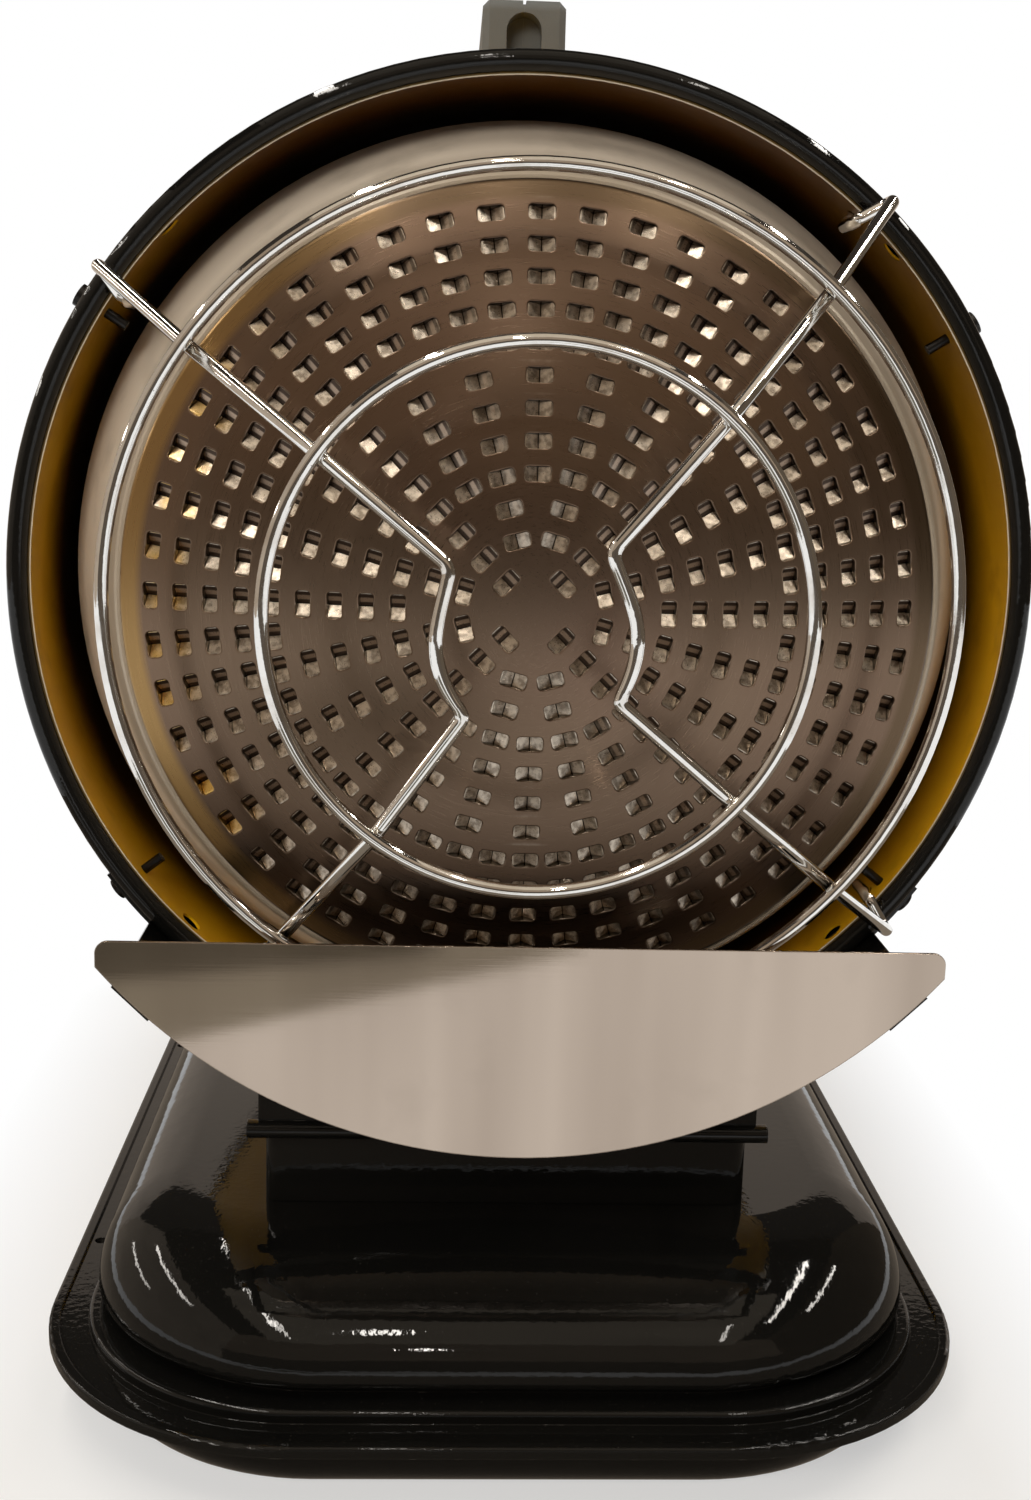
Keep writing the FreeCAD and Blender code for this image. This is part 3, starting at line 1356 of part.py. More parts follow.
def build():
    """Every sub-part by its node name."""
    return {
        "tank_upper_shell": tank_upper_shell(),
        "tank_lower_shell": tank_lower_shell(),
        "drain_plug": drain_plug(),
        "filler_neck": filler_neck(),
        "filler_strainer": filler_strainer(),
        "fuel_cap": fuel_cap(),
        "cap_gasket": cap_gasket(),
        "fuel_pickup_pipe": fuel_pickup_pipe(),
        "pickup_filter": pickup_filter(),
        "pedestal_box": pedestal_box(),
        "pedestal_lid": pedestal_lid(),
        "pedestal_screws": pedestal_screws(),
        "tilt_bolts": tilt_bolts(),
        "fuel_pump": fuel_pump(),
        "fuel_line_lower": fuel_line_lower(),
        "ignition_transformer": ignition_transformer(),
        "control_panel": control_panel(),
        "control_board": control_board(),
        "switch_housing": switch_housing(),
        "power_rocker": power_rocker(),
        "thermostat_body": thermostat_body(),
        "thermostat_knob": thermostat_knob(),
        "power_inlet": power_inlet(),
        "saddle_bracket": saddle_bracket(),
        "saddle_screws": saddle_screws(),
        "drum_shell": drum_shell(),
        "front_ring": front_ring(),
        "rim_screws": rim_screws(),
        "rear_cover": rear_cover(),
        "rear_cover_screws": rear_cover_screws(),
        "radiant_disc": radiant_disc(),
        "emitter_ring": emitter_ring(),
        "combustion_chamber": combustion_chamber(),
        "chamber_brackets": chamber_brackets(),
        "burner_tube": burner_tube(),
        "burner_carrier": burner_carrier(),
        "nozzle_holder": nozzle_holder(),
        "oil_nozzle": oil_nozzle(),
        "flame_disc": flame_disc(),
        "electrode_left": electrode(-1),
        "electrode_right": electrode(1),
        "flame_sensor": flame_sensor(),
        "fuel_line_upper": fuel_line_upper(),
        "motor_bracket": motor_bracket(),
        "motor_bracket_screws": motor_bracket_screws(),
        "fan_motor": fan_motor(),
        "motor_shaft": motor_shaft(),
        "fan_wheel": fan_wheel(),
        "handle_left_half": handle_half(-1),
        "handle_right_half": handle_half(1),
        "handle_screws": handle_screws(),
        "deflector_plate": deflector_plate(),
        "deflector_arm_left": deflector_arm(-1),
        "deflector_arm_right": deflector_arm(1),
        "guard_outer_ring": guard_ring(guard_outer_radius, guard_outer_reach),
        "guard_inner_ring": guard_ring(guard_inner_radius, guard_inner_reach),
        "guard_left_wire": guard_wire(left_wire_angle),
        "guard_right_wire": guard_wire(right_wire_angle),
    }


os.makedirs("parts", exist_ok=True)
for node, shape in build().items():
    shape.exportStep("parts/" + node + ".step")
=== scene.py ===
import json
import math

import bmesh
import bpy
from mathutils import Matrix, Vector
from mathutils.geometry import tessellate_polygon


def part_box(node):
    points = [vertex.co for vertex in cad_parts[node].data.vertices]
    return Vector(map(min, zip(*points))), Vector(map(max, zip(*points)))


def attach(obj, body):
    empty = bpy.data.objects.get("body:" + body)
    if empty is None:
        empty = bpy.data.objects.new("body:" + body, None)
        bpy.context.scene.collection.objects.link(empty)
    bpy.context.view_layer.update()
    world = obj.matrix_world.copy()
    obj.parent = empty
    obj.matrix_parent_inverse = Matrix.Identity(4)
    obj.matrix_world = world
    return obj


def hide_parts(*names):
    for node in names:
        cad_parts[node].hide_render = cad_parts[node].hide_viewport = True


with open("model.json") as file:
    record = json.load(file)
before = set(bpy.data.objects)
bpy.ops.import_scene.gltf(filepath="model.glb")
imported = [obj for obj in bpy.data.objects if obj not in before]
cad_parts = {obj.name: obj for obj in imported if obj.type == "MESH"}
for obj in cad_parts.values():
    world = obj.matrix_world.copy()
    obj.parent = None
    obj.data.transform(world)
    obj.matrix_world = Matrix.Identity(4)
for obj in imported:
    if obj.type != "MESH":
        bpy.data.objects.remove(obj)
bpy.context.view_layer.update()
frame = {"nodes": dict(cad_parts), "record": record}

# Places taken from the frame, in metres
rim_low, rim_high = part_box("front_ring")
disc_low, disc_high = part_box("radiant_disc")
tank_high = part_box("tank_lower_shell")[1]
drum_low, drum_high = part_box("drum_shell")
axis_x = (rim_low.x + rim_high.x) / 2
axis_z = (rim_low.z + rim_high.z) / 2
drum_axis = Vector((axis_x, 0.0, axis_z))

# Drum paint
drum_front = drum_low.y
drum_wall = 0.0012              # thickness of its sheet
drum_wall_middle = (drum_high.x - drum_low.x) / 2 - drum_wall / 2
cut_edge = 0.0003               # depth to which the drum's bare front edge shows
# Painted shade inside the drum: darker towards the top and deeper in, where less light falls
drum_shade_below = 0.06            # heights from the axis between which painted shade darkens the drum's inside towards the top
drum_shade_above = 0.16
drum_shade_from = 0.001            # depths between which painted shade darkens it deeper in the drum
drum_shade_depth = 0.058
drum_shade_share = 0.96

# Radiant disc
disc_radius = (disc_high.x - disc_low.x) / 2
disc_edge_height = 0.006        # of the turned edge
disc_sag = disc_high.y - disc_low.y - disc_edge_height
disc_sphere = (disc_radius ** 2 + disc_sag ** 2) / (2 * disc_sag)
disc_rounding = 0.0015
edge_steps = 5
circle_points = 192             # a multiple of every ring's count of holes

# Perforations of the disc: sizes as in the CAD, and rings as (count of holes, angle of the first)
perforation_tangent = 0.0104
perforation_radial = 0.0063
perforation_corner = 0.0019
perforation_first = 0.0140
perforation_pitch = 0.0112
perforation_rings = ((4, 45.0), (12, 15.0), (12, 15.0), (24, 0.0), (24, 0.0), (24, 0.0), (24, 0.0),
                     (48, 0.0), (48, 0.0), (48, 0.0), (48, 0.0), (48, 0.0))
corner_steps = 4
lip_radius = 0.0006
lip_steps = 3
flap_slit = 0.0004              # between the two flaps of a hole
flap_side_gap = 0.0001
flap_tilt = 31.0                # degrees that a flap is bent inwards
flap_bend = 0.0010              # radius of that bend
flap_steps = 4
flap_columns = (-1.0, -0.5, 0.0, 0.5, 1.0)
flap_hollow = 0.00005           # depth of a flap's hollow

# Tones of the disc and of the emitter around it
border_from = perforation_first + (len(perforation_rings) - 1) * perforation_pitch + perforation_radial / 2
border_fade = 0.003
border_gold = (-0.05, -0.12)    # places across between which the border turns from olive to gold
hole_gold = (-0.085, -0.120)    # places across between which the outer holes turn gold
hole_gold_ring = (0.121, 0.132)  # distances from the axis between which that starts
dull_from = 0.02                # distances from the axis between which the disc turns duller, up and down
dull_reach = 0.12
sunk_from = 0.1 * lip_radius    # depth from which the tone of the holes begins
shaded_slope = (-0.08, -0.30)   # downward tilts between which painted shade darkens a tongue
tongue_highlight_depth = 0.0019      # depth of the painted highlight band across a tongue in painted shade
tongue_highlight_half = 0.0006
tongue_highlight_core = 0.6 * tongue_highlight_half
emitter_band = 0.016            # reach of the emitter's darker band around the disc
emitter_band_core = 0.5 * emitter_band

# Bent wires of the guard. The kinks and the bow of the CAD wire:
wire_kink_radius = 0.036
wire_kink_angle = math.radians(40)
wire_kink_out = wire_kink_radius * math.cos(wire_kink_angle)
wire_kink_side = wire_kink_radius * math.sin(wire_kink_angle)
wire_bow = 0.034
wire_bow_bend = 0.020
wire_ring_radius = 0.091        # where the legs pass the inner ring
# The smooth bow that replaces its middle run: node, angle of the middle, the two kinks as
# (along that angle, across it), reach of the bow and its lean to one of the kinks
bent_wires = (("guard_left_wire", 189.0, (0.0266, -0.0227), (0.0285, 0.0268), 0.0347, 0.33),
              ("guard_right_wire", 3.5, (0.0251, -0.0269), (0.0244, 0.0230), 0.0319, -0.33))
bow_flatness = 0.3              # how much the bow's ends are drawn in
wire_cuts = 28
wire_merge = 1e-6               # distance at which points of the CAD mesh are joined
wire_sharp_angle = math.radians(40)

# Camera, fitted to the photograph
image_height = 1500
focal_pixels = 1731
camera_place = Vector((-0.0320, -0.8707, 0.4095))
camera_yaw = math.radians(2.56)
camera_pitch = math.radians(10.97)
camera_roll = math.radians(-1.64)
camera_near = 0.02
sensor_height = 36.0

# Floor and fill light
floor_half = 4.0
floor_fade = 0.09               # from the tank's sides to plain white
floor_lift = 0.5                # share of white beside the tank
fill_strength = 0.14

# Panels that only reflections see
room_half = 2.6
room_height = 3.0
room_gap = 0.05                 # height of the white band left open above the floor
front_split = 0.95              # height where the front of the room turns lighter
back_split = 1.55               # height where the back of the room turns darker
ceiling_height = 2.6
ceiling_half = 1.4
ceiling_rear = 0.1
mat_height = 0.001
mat_corners = ((0.09, -0.975), (-0.30, -0.690), (-0.60, -0.70), (-0.30, -1.50))
far_mat_height = 0.002
far_mat_corners = ((-0.02, -0.955), (-0.26, -0.88), (-0.60, -0.88), (-0.40, -1.50))
# Painted shade of the floor around the heater: a darker panel that only reflections see
near_floor_shade_half = 0.6
near_floor_shade_front = -0.56
near_floor_shade_rear = tank_high.y + 0.3
cloth_shade = 0.8               # darkest tone of a panel, as a share of its own

# Lamps: name, place, target, width, height, watts, and whether reflections show it
lamp_tint = (1.0, 0.95, 0.88)
lamps = (("front_lamp", (-0.8, -2.2, 1.5), (0.0, -0.2, 0.25), 1.0, 0.7, 30.0, False),
         ("middle_lamp", (-0.11, -1.45, 2.3), (-0.11, -0.2, 0.2), 0.05, 0.25, 1.6, True),
         ("forward_lamp", (-0.03, -2.40, 1.8), (-0.03, -0.2, 0.2), 0.03, 0.12, 0.8, True))

# Strip lamps that lie from front to back: name, place across, along and up, length, watts
strip_width = 0.07
strip_target_height = 0.1
strips = (("left_low_strip", -2.45, 0.9, 1.1, 1.4, 3.0),
          ("left_far_strip", -2.40, 0.5, 2.2, 2.2, 8.0),
          ("left_near_strip", -0.80, 0.2, 2.2, 2.8, 16.0),
          ("right_near_strip", 1.40, 0.0, 2.2, 2.0, 14.0),
          ("right_far_strip", 2.20, 0.2, 2.2, 1.6, 8.0),
          ("left_front_strip", -0.75, -1.4, 2.2, 0.9, 3.5),
          ("right_front_strip", 0.75, -1.4, 2.2, 0.9, 3.5))

# Ranges shared by the finishes
noise_range = (0.3, 0.7)        # where most of a noise lies
edge_cosines = (0.98, 0.80)     # turns of an edge between which it becomes worn
upward_range = (0.35, 0.95)     # upward parts of a normal between which dust settles


def srgb(red, green, blue):
    """Linear colour of a screen colour written from 0 to 255."""
    parts = [value / 255 for value in (red, green, blue)]
    return tuple(p / 12.92 if p <= 0.04045 else ((p + 0.055) / 1.055) ** 2.4 for p in parts) + (1.0,)


def placed(name, data):
    """New object of the scene with this data."""
    made = bpy.data.objects.new(name, data)
    bpy.context.scene.collection.objects.link(made)
    return made


class Finish:
    """A procedural material: one Principled shader and the nodes that feed it."""

    def __init__(self, name, **constants):
        self.material = bpy.data.materials.new(name)
        self.material.use_nodes = True
        self.tree = self.material.node_tree
        self.shader = self.tree.nodes["Principled BSDF"]
        self.place = self.node("ShaderNodeTexCoord").outputs["Object"]
        for socket, value in constants.items():
            self.shader.inputs[socket].default_value = value

    def join(self, socket, value):
        """Gives a socket a number, a colour or another node's output."""
        if isinstance(value, bpy.types.NodeSocket):
            self.tree.links.new(value, socket)
        else:
            socket.default_value = value

    def node(self, kind, **inputs):
        """Adds a node with these inputs."""
        made = self.tree.nodes.new(kind)
        for name, value in inputs.items():
            self.join(made.inputs[name], value)
        return made

    def calc(self, operation, *values):
        """Number worked out from one or more numbers."""
        made = self.tree.nodes.new("ShaderNodeMath")
        made.operation = operation
        for socket, value in zip(made.inputs, values):
            self.join(socket, value)
        return made.outputs[0]

    def vector_calc(self, operation, first, second):
        """Number worked out from two vectors."""
        made = self.tree.nodes.new("ShaderNodeVectorMath")
        made.operation = operation
        self.join(made.inputs[0], first)
        self.join(made.inputs[1], second)
        return made.outputs["Value"]

    def parts(self, vector):
        """The X, Y and Z of a vector."""
        apart = self.node("ShaderNodeSeparateXYZ", Vector=vector)
        return apart.outputs["X"], apart.outputs["Y"], apart.outputs["Z"]

    def noise(self, scale, detail=3.0, stretch=(1, 1, 1), at=None):
        """Noise from 0 to 1 with about scale waves per metre, drawn out by stretch."""
        turned = self.node("ShaderNodeMapping", Vector=at or self.place, Scale=stretch).outputs[0]
        return self.node("ShaderNodeTexNoise", Vector=turned, Scale=scale, Detail=detail).outputs[0]

    def span(self, value, low, high, first=0.0, last=1.0):
        """Number that goes from first to last while value goes from low to high."""
        made = self.tree.nodes.new("ShaderNodeMapRange")
        for socket, number in zip(made.inputs, (value, low, high, first, last)):
            self.join(socket, number)
        return made.outputs[0]

    def blend(self, share, first, second):
        """Colour between two colours."""
        made = self.tree.nodes.new("ShaderNodeMix")
        made.data_type = "RGBA"
        colours = [socket for socket in made.inputs if socket.type == "RGBA"]
        self.join(made.inputs[0], share)
        self.join(colours[0], first)
        self.join(colours[1], second)
        return [socket for socket in made.outputs if socket.type == "RGBA"][0]

    def colour(self, value):
        """Sets the base colour."""
        self.join(self.shader.inputs["Base Color"], value)

    def roughness(self, value):
        """Sets the roughness."""
        self.join(self.shader.inputs["Roughness"], value)

    def roughness_by(self, noise, low, high):
        """Roughness that follows a noise between two values."""
        self.roughness(self.span(noise, *noise_range, low, high))

    def surface(self, shader):
        """Shows another shader in place of the Principled one."""
        self.join(self.tree.nodes["Material Output"].inputs["Surface"], shader)

    def bump(self, height, distance):
        """Relief of this height in metres, on top of any relief set before."""
        made = self.node("ShaderNodeBump", Height=height, Distance=distance)
        normal = self.shader.inputs["Normal"]
        if normal.is_linked:
            self.join(made.inputs["Normal"], normal.links[0].from_socket)
        self.join(normal, made.outputs[0])

    def soft_edges(self, radius):
        """Shading of a small round on sharp edges."""
        self.join(self.shader.inputs["Normal"], self.node("ShaderNodeBevel", Radius=radius).outputs[0])

    def normal(self):
        """Normal of the face."""
        return self.node("ShaderNodeNewGeometry").outputs["Normal"]

    def edge_wear(self, radius):
        """1 on sharp edges and 0 on plain faces."""
        rounded = self.node("ShaderNodeBevel", Radius=radius).outputs[0]
        return self.span(self.vector_calc("DOT_PRODUCT", rounded, self.normal()), *edge_cosines)

    def normal_up(self):
        """Upward part of the face's normal."""
        return self.parts(self.normal())[2]

    def faces_up(self):
        """1 on faces that look up and 0 on upright ones."""
        return self.span(self.normal_up(), *upward_range)

    def length(self, first, second):
        """Length of a flat vector with these two parts."""
        squares = [self.calc("MULTIPLY", part, part) for part in (first, second)]
        return self.calc("SQRT", self.calc("ADD", *squares))

    def polar(self):
        """Distance from the drum's axis and angle around it, counted from the top."""
        x, _, z = self.parts(self.place)
        across = self.calc("SUBTRACT", x, axis_x)
        up = self.calc("SUBTRACT", z, axis_z)
        return self.length(across, up), self.calc("ARCTAN2", across, up)

    def turned_lines(self, scale, run):
        """Fine lines around the drum's axis, as spinning or brushing leaves them."""
        radius, angle = self.polar()
        depth = self.parts(self.place)[1]
        along = self.calc("MULTIPLY", angle, run)
        at = self.node("ShaderNodeCombineXYZ", X=radius, Y=along, Z=depth).outputs[0]
        return self.noise(scale, 4.0, at=at)


def black_enamel():
    """Glossy stoved enamel with a slight orange peel, faint smears, a little dust and worn edges."""
    finish = Finish("black_enamel", IOR=1.38)
    body = finish.blend(finish.noise(14.0, 4.0), srgb(11, 11, 10), srgb(19, 18, 16))
    specks = finish.span(finish.noise(1400.0, 2.0), 0.70, 0.78)
    dust = finish.calc("MULTIPLY", specks, finish.faces_up())
    dusted = finish.blend(finish.calc("MULTIPLY", dust, 0.16), body, srgb(150, 142, 130))
    patches = finish.span(finish.noise(160.0, 4.0), 0.60, 0.72)
    worn = finish.calc("MULTIPLY", finish.edge_wear(0.0006), patches)
    finish.colour(finish.blend(worn, dusted, srgb(90, 86, 80)))
    smear = finish.span(finish.noise(40.0, 5.0, (1.0, 1.0, 0.35)), 0.35, 0.75, 0.02, 0.06)
    finish.roughness(finish.calc("ADD", smear, finish.calc("MULTIPLY", dust, 0.3)))
    finish.soft_edges(0.0008)
    finish.bump(finish.noise(300.0, 2.0), 0.00005)
    return finish.material


def drum_painted_shade(finish, inside):
    """Share of painted shade: inside the drum, darker above its axis and deeper in it."""
    _, y, z = finish.parts(finish.place)
    above = finish.span(z, axis_z - drum_shade_below, axis_z + drum_shade_above, 0.0, drum_shade_share)
    deep = finish.span(y, drum_front + drum_shade_from, drum_front + drum_shade_depth, 0.0, drum_shade_share)
    return finish.calc("MULTIPLY", inside, finish.calc("MAXIMUM", above, deep))


def drum_paint():
    """Amber paint with orange peel; sooty inside, with painted shade above the axis and deep inside, bare at
    the front edge.
    """
    finish = Finish("drum_paint", IOR=1.5)
    body = finish.blend(finish.noise(26.0, 4.0), srgb(230, 176, 12), srgb(212, 158, 8))
    inside = finish.span(finish.polar()[0], drum_wall_middle, drum_wall_middle - cut_edge)
    clouds = finish.span(finish.noise(60.0, 6.0), 0.58, 0.80, 0.0, 0.4)
    sooty = finish.blend(finish.calc("MULTIPLY", inside, clouds), body, srgb(120, 82, 12))
    # painted shade: the drum's inside darker towards the top and deeper in
    with_painted_shade = finish.blend(drum_painted_shade(finish, inside), sooty, srgb(66, 33, 5))
    edge = finish.blend(inside, srgb(24, 20, 15), srgb(196, 186, 168))
    depth = finish.parts(finish.place)[1]
    front = finish.span(depth, drum_front + cut_edge, drum_front, 0.0, 0.9)
    finish.colour(finish.blend(front, with_painted_shade, edge))
    finish.roughness_by(finish.noise(45.0, 4.0), 0.28, 0.42)
    finish.soft_edges(0.0004)
    finish.bump(finish.noise(420.0, 2.0), 0.00005)
    return finish.material


def disc_face_tone(finish):
    """Tone of the disc's face: brown, duller above and below, olive at the border and gold at its left."""
    across, _, z = finish.parts(finish.place)
    body = finish.blend(finish.noise(16.0, 4.0), srgb(135, 114, 95), srgb(113, 95, 79))
    rosy = finish.blend(finish.span(finish.noise(9.0, 3.0), 0.45, 0.75, 0.0, 0.5), body, srgb(131, 105, 91))
    below = finish.span(z, axis_z - dull_from, axis_z - dull_reach)
    above = finish.span(z, axis_z + dull_from, axis_z + dull_reach, 0.0, 0.4)
    dulled = finish.blend(finish.calc("MAXIMUM", below, above), rosy, srgb(96, 79, 66))
    border = finish.span(finish.polar()[0], border_from, border_from + border_fade, 0.0, 0.7)
    olive = finish.blend(finish.span(across, *border_gold), srgb(96, 80, 60), srgb(172, 138, 84))
    return finish.blend(border, dulled, olive)


def disc_hole_tone(finish, depth):
    """Tone in the holes: bright, gold at the left, and painted shade with a painted highlight band on tongues
    that look down.
    """
    across, _, z = finish.parts(finish.place)
    mottle = finish.span(finish.noise(420.0, 3.0), 0.42, 0.62)
    bright = finish.blend(mottle, srgb(206, 194, 178), srgb(150, 138, 124))
    ring = finish.span(finish.polar()[0], *hole_gold_ring)
    outer = finish.calc("MULTIPLY", ring, finish.span(across, *hole_gold))
    gold = finish.calc("MULTIPLY", outer, finish.span(finish.noise(40.0, 2.0), 0.35, 0.6))
    lit = finish.blend(gold, bright, srgb(226, 184, 92))
    # painted highlight: a lighter band across each tongue in painted shade
    from_band = finish.calc("ABSOLUTE", finish.calc("SUBTRACT", depth, tongue_highlight_depth))
    band = finish.span(from_band, tongue_highlight_half, tongue_highlight_core)
    shaded = finish.blend(band, srgb(74, 62, 54), srgb(168, 148, 130))
    # painted shade: tongues that look down are darker
    face_up = finish.calc("DIVIDE", finish.calc("SUBTRACT", z, axis_z), disc_sphere)
    down = finish.span(finish.calc("SUBTRACT", finish.normal_up(), face_up), *shaded_slope)
    return finish.blend(down, lit, shaded)


def disc_steel():
    """Spun heat-resisting steel, heat-tinted brown on its face, brighter in the holes, with painted shade on
    tongues that look down.
    """
    finish = Finish("disc_steel", Metallic=1.0)
    middle = (axis_x, disc_low.y + disc_sphere, axis_z)
    depth = finish.calc("SUBTRACT", disc_sphere, finish.vector_calc("DISTANCE", finish.place, middle))
    sunk = finish.span(depth, sunk_from, lip_radius)
    finish.colour(finish.blend(sunk, disc_face_tone(finish), disc_hole_tone(finish, depth)))
    lines = finish.turned_lines(2600.0, 0.004)
    finish.roughness_by(lines, 0.26, 0.34)
    finish.bump(lines, 0.0000015)
    return finish.material


def emitter_steel():
    """Satin stainless steel, brushed around, with patches of heat tint and a darker band by the disc."""
    finish = Finish("emitter_steel", Metallic=0.25)
    body = finish.blend(finish.noise(10.0, 4.0), srgb(240, 226, 207), srgb(222, 208, 189))
    tint = finish.span(finish.noise(30.0, 5.0), 0.55, 0.8, 0.0, 0.5)
    tinted = finish.blend(tint, body, srgb(146, 133, 115))
    radius = finish.polar()[0]
    near = finish.span(radius, disc_radius + emitter_band, disc_radius + emitter_band_core, 0.0, 0.8)
    finish.colour(finish.blend(near, tinted, srgb(140, 126, 107)))
    lines = finish.turned_lines(2200.0, 0.003)
    finish.roughness_by(lines, 0.36, 0.48)
    finish.bump(lines, 0.00001)
    return finish.material


def deflector_steel():
    """Bright rolled stainless plate with fine lines from side to side, soft upright bands and smudges."""
    finish = Finish("deflector_steel", Metallic=1.0)
    bands = finish.span(finish.noise(26.0, 2.0, (1.0, 1.0, 0.12)), *noise_range)
    body = finish.blend(bands, srgb(190, 175, 160), srgb(168, 153, 139))
    smudge = finish.span(finish.noise(22.0, 5.0), 0.60, 0.84, 0.0, 0.25)
    finish.colour(finish.blend(smudge, body, srgb(136, 124, 112)))
    lines = finish.noise(5200.0, 4.0, (0.004, 1.0, 1.0))
    finish.roughness_by(lines, 0.04, 0.08)
    finish.soft_edges(0.0005)
    finish.bump(lines, 0.000002)
    return finish.material


def guard_chrome():
    """Bright chrome plate on drawn wire, with faint haze and pinholes."""
    finish = Finish("guard_chrome", Metallic=1.0)
    haze = finish.span(finish.noise(70.0, 5.0), 0.5, 0.8)
    pits = finish.span(finish.noise(1100.0, 2.0), 0.74, 0.80)
    plate = finish.blend(haze, srgb(234, 232, 228), srgb(208, 200, 190))
    finish.colour(finish.blend(pits, plate, srgb(96, 82, 70)))
    smooth = finish.span(haze, 0.0, 1.0, 0.05, 0.14)
    finish.roughness(finish.calc("ADD", smooth, finish.calc("MULTIPLY", pits, 0.3)))
    finish.bump(finish.noise(500.0, 2.0), 0.00001)
    return finish.material


def plain_metal(name, light, dark, rough):
    """Metal of the small and inner pieces: two tones in clouds, and a fine grain."""
    finish = Finish(name, Metallic=1.0)
    finish.colour(finish.blend(finish.noise(60.0, 5.0), srgb(*light), srgb(*dark)))
    grain = finish.noise(1800.0, 3.0)
    finish.roughness_by(grain, rough - 0.06, rough + 0.08)
    finish.soft_edges(0.0003)
    finish.bump(grain, 0.00001)
    return finish.material


def plain_plastic(name, light, dark, rough, grain_size, grain_height):
    """Moulded plastic or paint with an even fine grain and rubbed edges."""
    finish = Finish(name, IOR=1.46)
    body = finish.blend(finish.noise(35.0, 4.0), srgb(*light), srgb(*dark))
    rubbed = finish.calc("MULTIPLY", finish.edge_wear(0.0006), 0.35)
    finish.colour(finish.blend(rubbed, body, srgb(120, 118, 114)))
    grain = finish.noise(1.0 / grain_size, 2.0)
    finish.roughness_by(grain, rough - 0.05, rough + 0.08)
    finish.soft_edges(0.0005)
    finish.bump(grain, grain_height)
    return finish.material


# Plain finishes: slot, light tone, dark tone, roughness, and for plastics the grain's size and height
plain_metals = (("chamber_steel", (96, 84, 74), (58, 50, 46), 0.45),
                ("zinc_steel", (206, 204, 196), (168, 166, 158), 0.30),
                ("dark_fasteners", (62, 60, 58), (38, 37, 36), 0.38),
                ("brass", (214, 176, 104), (180, 138, 74), 0.28),
                ("fan_aluminium", (200, 202, 204), (164, 166, 168), 0.38))
plain_plastics = (("handle_plastic", (106, 107, 104), (88, 89, 86), 0.55, 0.0007, 0.00006),
                  ("control_plastic", (30, 30, 31), (22, 22, 23), 0.40, 0.0006, 0.00004),
                  ("panel_paint", (104, 104, 102), (90, 90, 89), 0.46, 0.0012, 0.00005),
                  ("gasket_rubber", (26, 25, 24), (18, 18, 17), 0.70, 0.0005, 0.00004),
                  ("ceramic", (236, 232, 222), (222, 216, 202), 0.18, 0.0030, 0.00002),
                  ("motor_paint", (46, 48, 52), (34, 36, 39), 0.36, 0.0016, 0.00006),
                  ("board", (26, 84, 52), (20, 66, 42), 0.38, 0.0010, 0.00003))


def finishes():
    """Every finish by the name of its slot."""
    made = {
        "black_enamel": black_enamel(),
        "drum_paint": drum_paint(),
        "disc_steel": disc_steel(),
        "emitter_steel": emitter_steel(),
        "deflector_steel": deflector_steel(),
        "guard_chrome": guard_chrome(),
    }
    made.update({row[0]: plain_metal(*row) for row in plain_metals})
    made.update({row[0]: plain_plastic(*row) for row in plain_plastics})
    return made


class SheetMesh:
    """Faces with a normal for each corner, gathered for one mesh."""

    def __init__(self):
        self.points = []
        self.faces = []
        self.normals = []

    def add(self, points, normals, faces):
        """Adds faces whose corners count in these points."""
        start = len(self.points)
        self.points += points
        for face in faces:
            self.faces.append([start + corner for corner in face])
            self.normals += [normals[corner] for corner in face]

    def grid(self, rows, row_normals, closed):
        """Adds quads between neighbouring rows of points."""
        count = len(rows[0])
        last = count if closed else count - 1
        faces = []
        for row in range(len(rows) - 1):
            for corner in range(last):
                after = (corner + 1) % count
                faces.append((row * count + corner, (row + 1) * count + corner,
                              (row + 1) * count + after, row * count + after))
        self.add([p for row in rows for p in row], [n for row in row_normals for n in row], faces)

    def finish(self, name):
        """The object with all the faces."""
        mesh = bpy.data.meshes.new(name)
        mesh.from_pydata(self.points, [], self.faces)
        mesh.normals_split_custom_set(self.normals)
        return placed(name, mesh)


def disc_normal(across, up):
    """Outward normal of the disc's outer face at a place across its axis."""
    return Vector((across, -math.sqrt(disc_sphere ** 2 - across ** 2 - up ** 2), up)) / disc_sphere


def disc_point(across, up, drop=0.0):
    """Point of the disc's outer face at a place across its axis, or that far behind the face."""
    depth = disc_sphere - math.sqrt(disc_sphere ** 2 - across ** 2 - up ** 2)
    return Vector((axis_x + across, disc_low.y + depth, axis_z + up)) - drop * disc_normal(across, up)


def circle_place(radius, step):
    """Place on a circle around the disc's axis, counted in the steps shared by all circles."""
    angle = 2 * math.pi * step / circle_points
    return radius * math.cos(angle), radius * math.sin(angle)


def circle_places(radius):
    """All places of such a circle."""
    return [circle_place(radius, step) for step in range(circle_points)]


def hole_outline(inset):
    """Rounded outline of a perforation as (tangent, radial) offsets, drawn in by inset."""
    corner = perforation_corner
    half = (perforation_tangent / 2 - corner, perforation_radial / 2 - corner)
    outline = []
    for quarter, (side_t, side_r) in enumerate(((1, 1), (-1, 1), (-1, -1), (1, -1))):
        for step in range(corner_steps + 1):
            angle = math.radians(90 * (quarter + step / corner_steps))
            outline.append((side_t * half[0] + (corner - inset) * math.cos(angle),
                            side_r * half[1] + (corner - inset) * math.sin(angle)))
    return outline


def hole_place(radius, angle, tangent, radial):
    """Place on the disc of an offset from a perforation's middle."""
    out = (math.cos(angle), math.sin(angle))
    along = (-out[1], out[0])
    return ((radius + radial) * out[0] + tangent * along[0], (radius + radial) * out[1] + tangent * along[1])


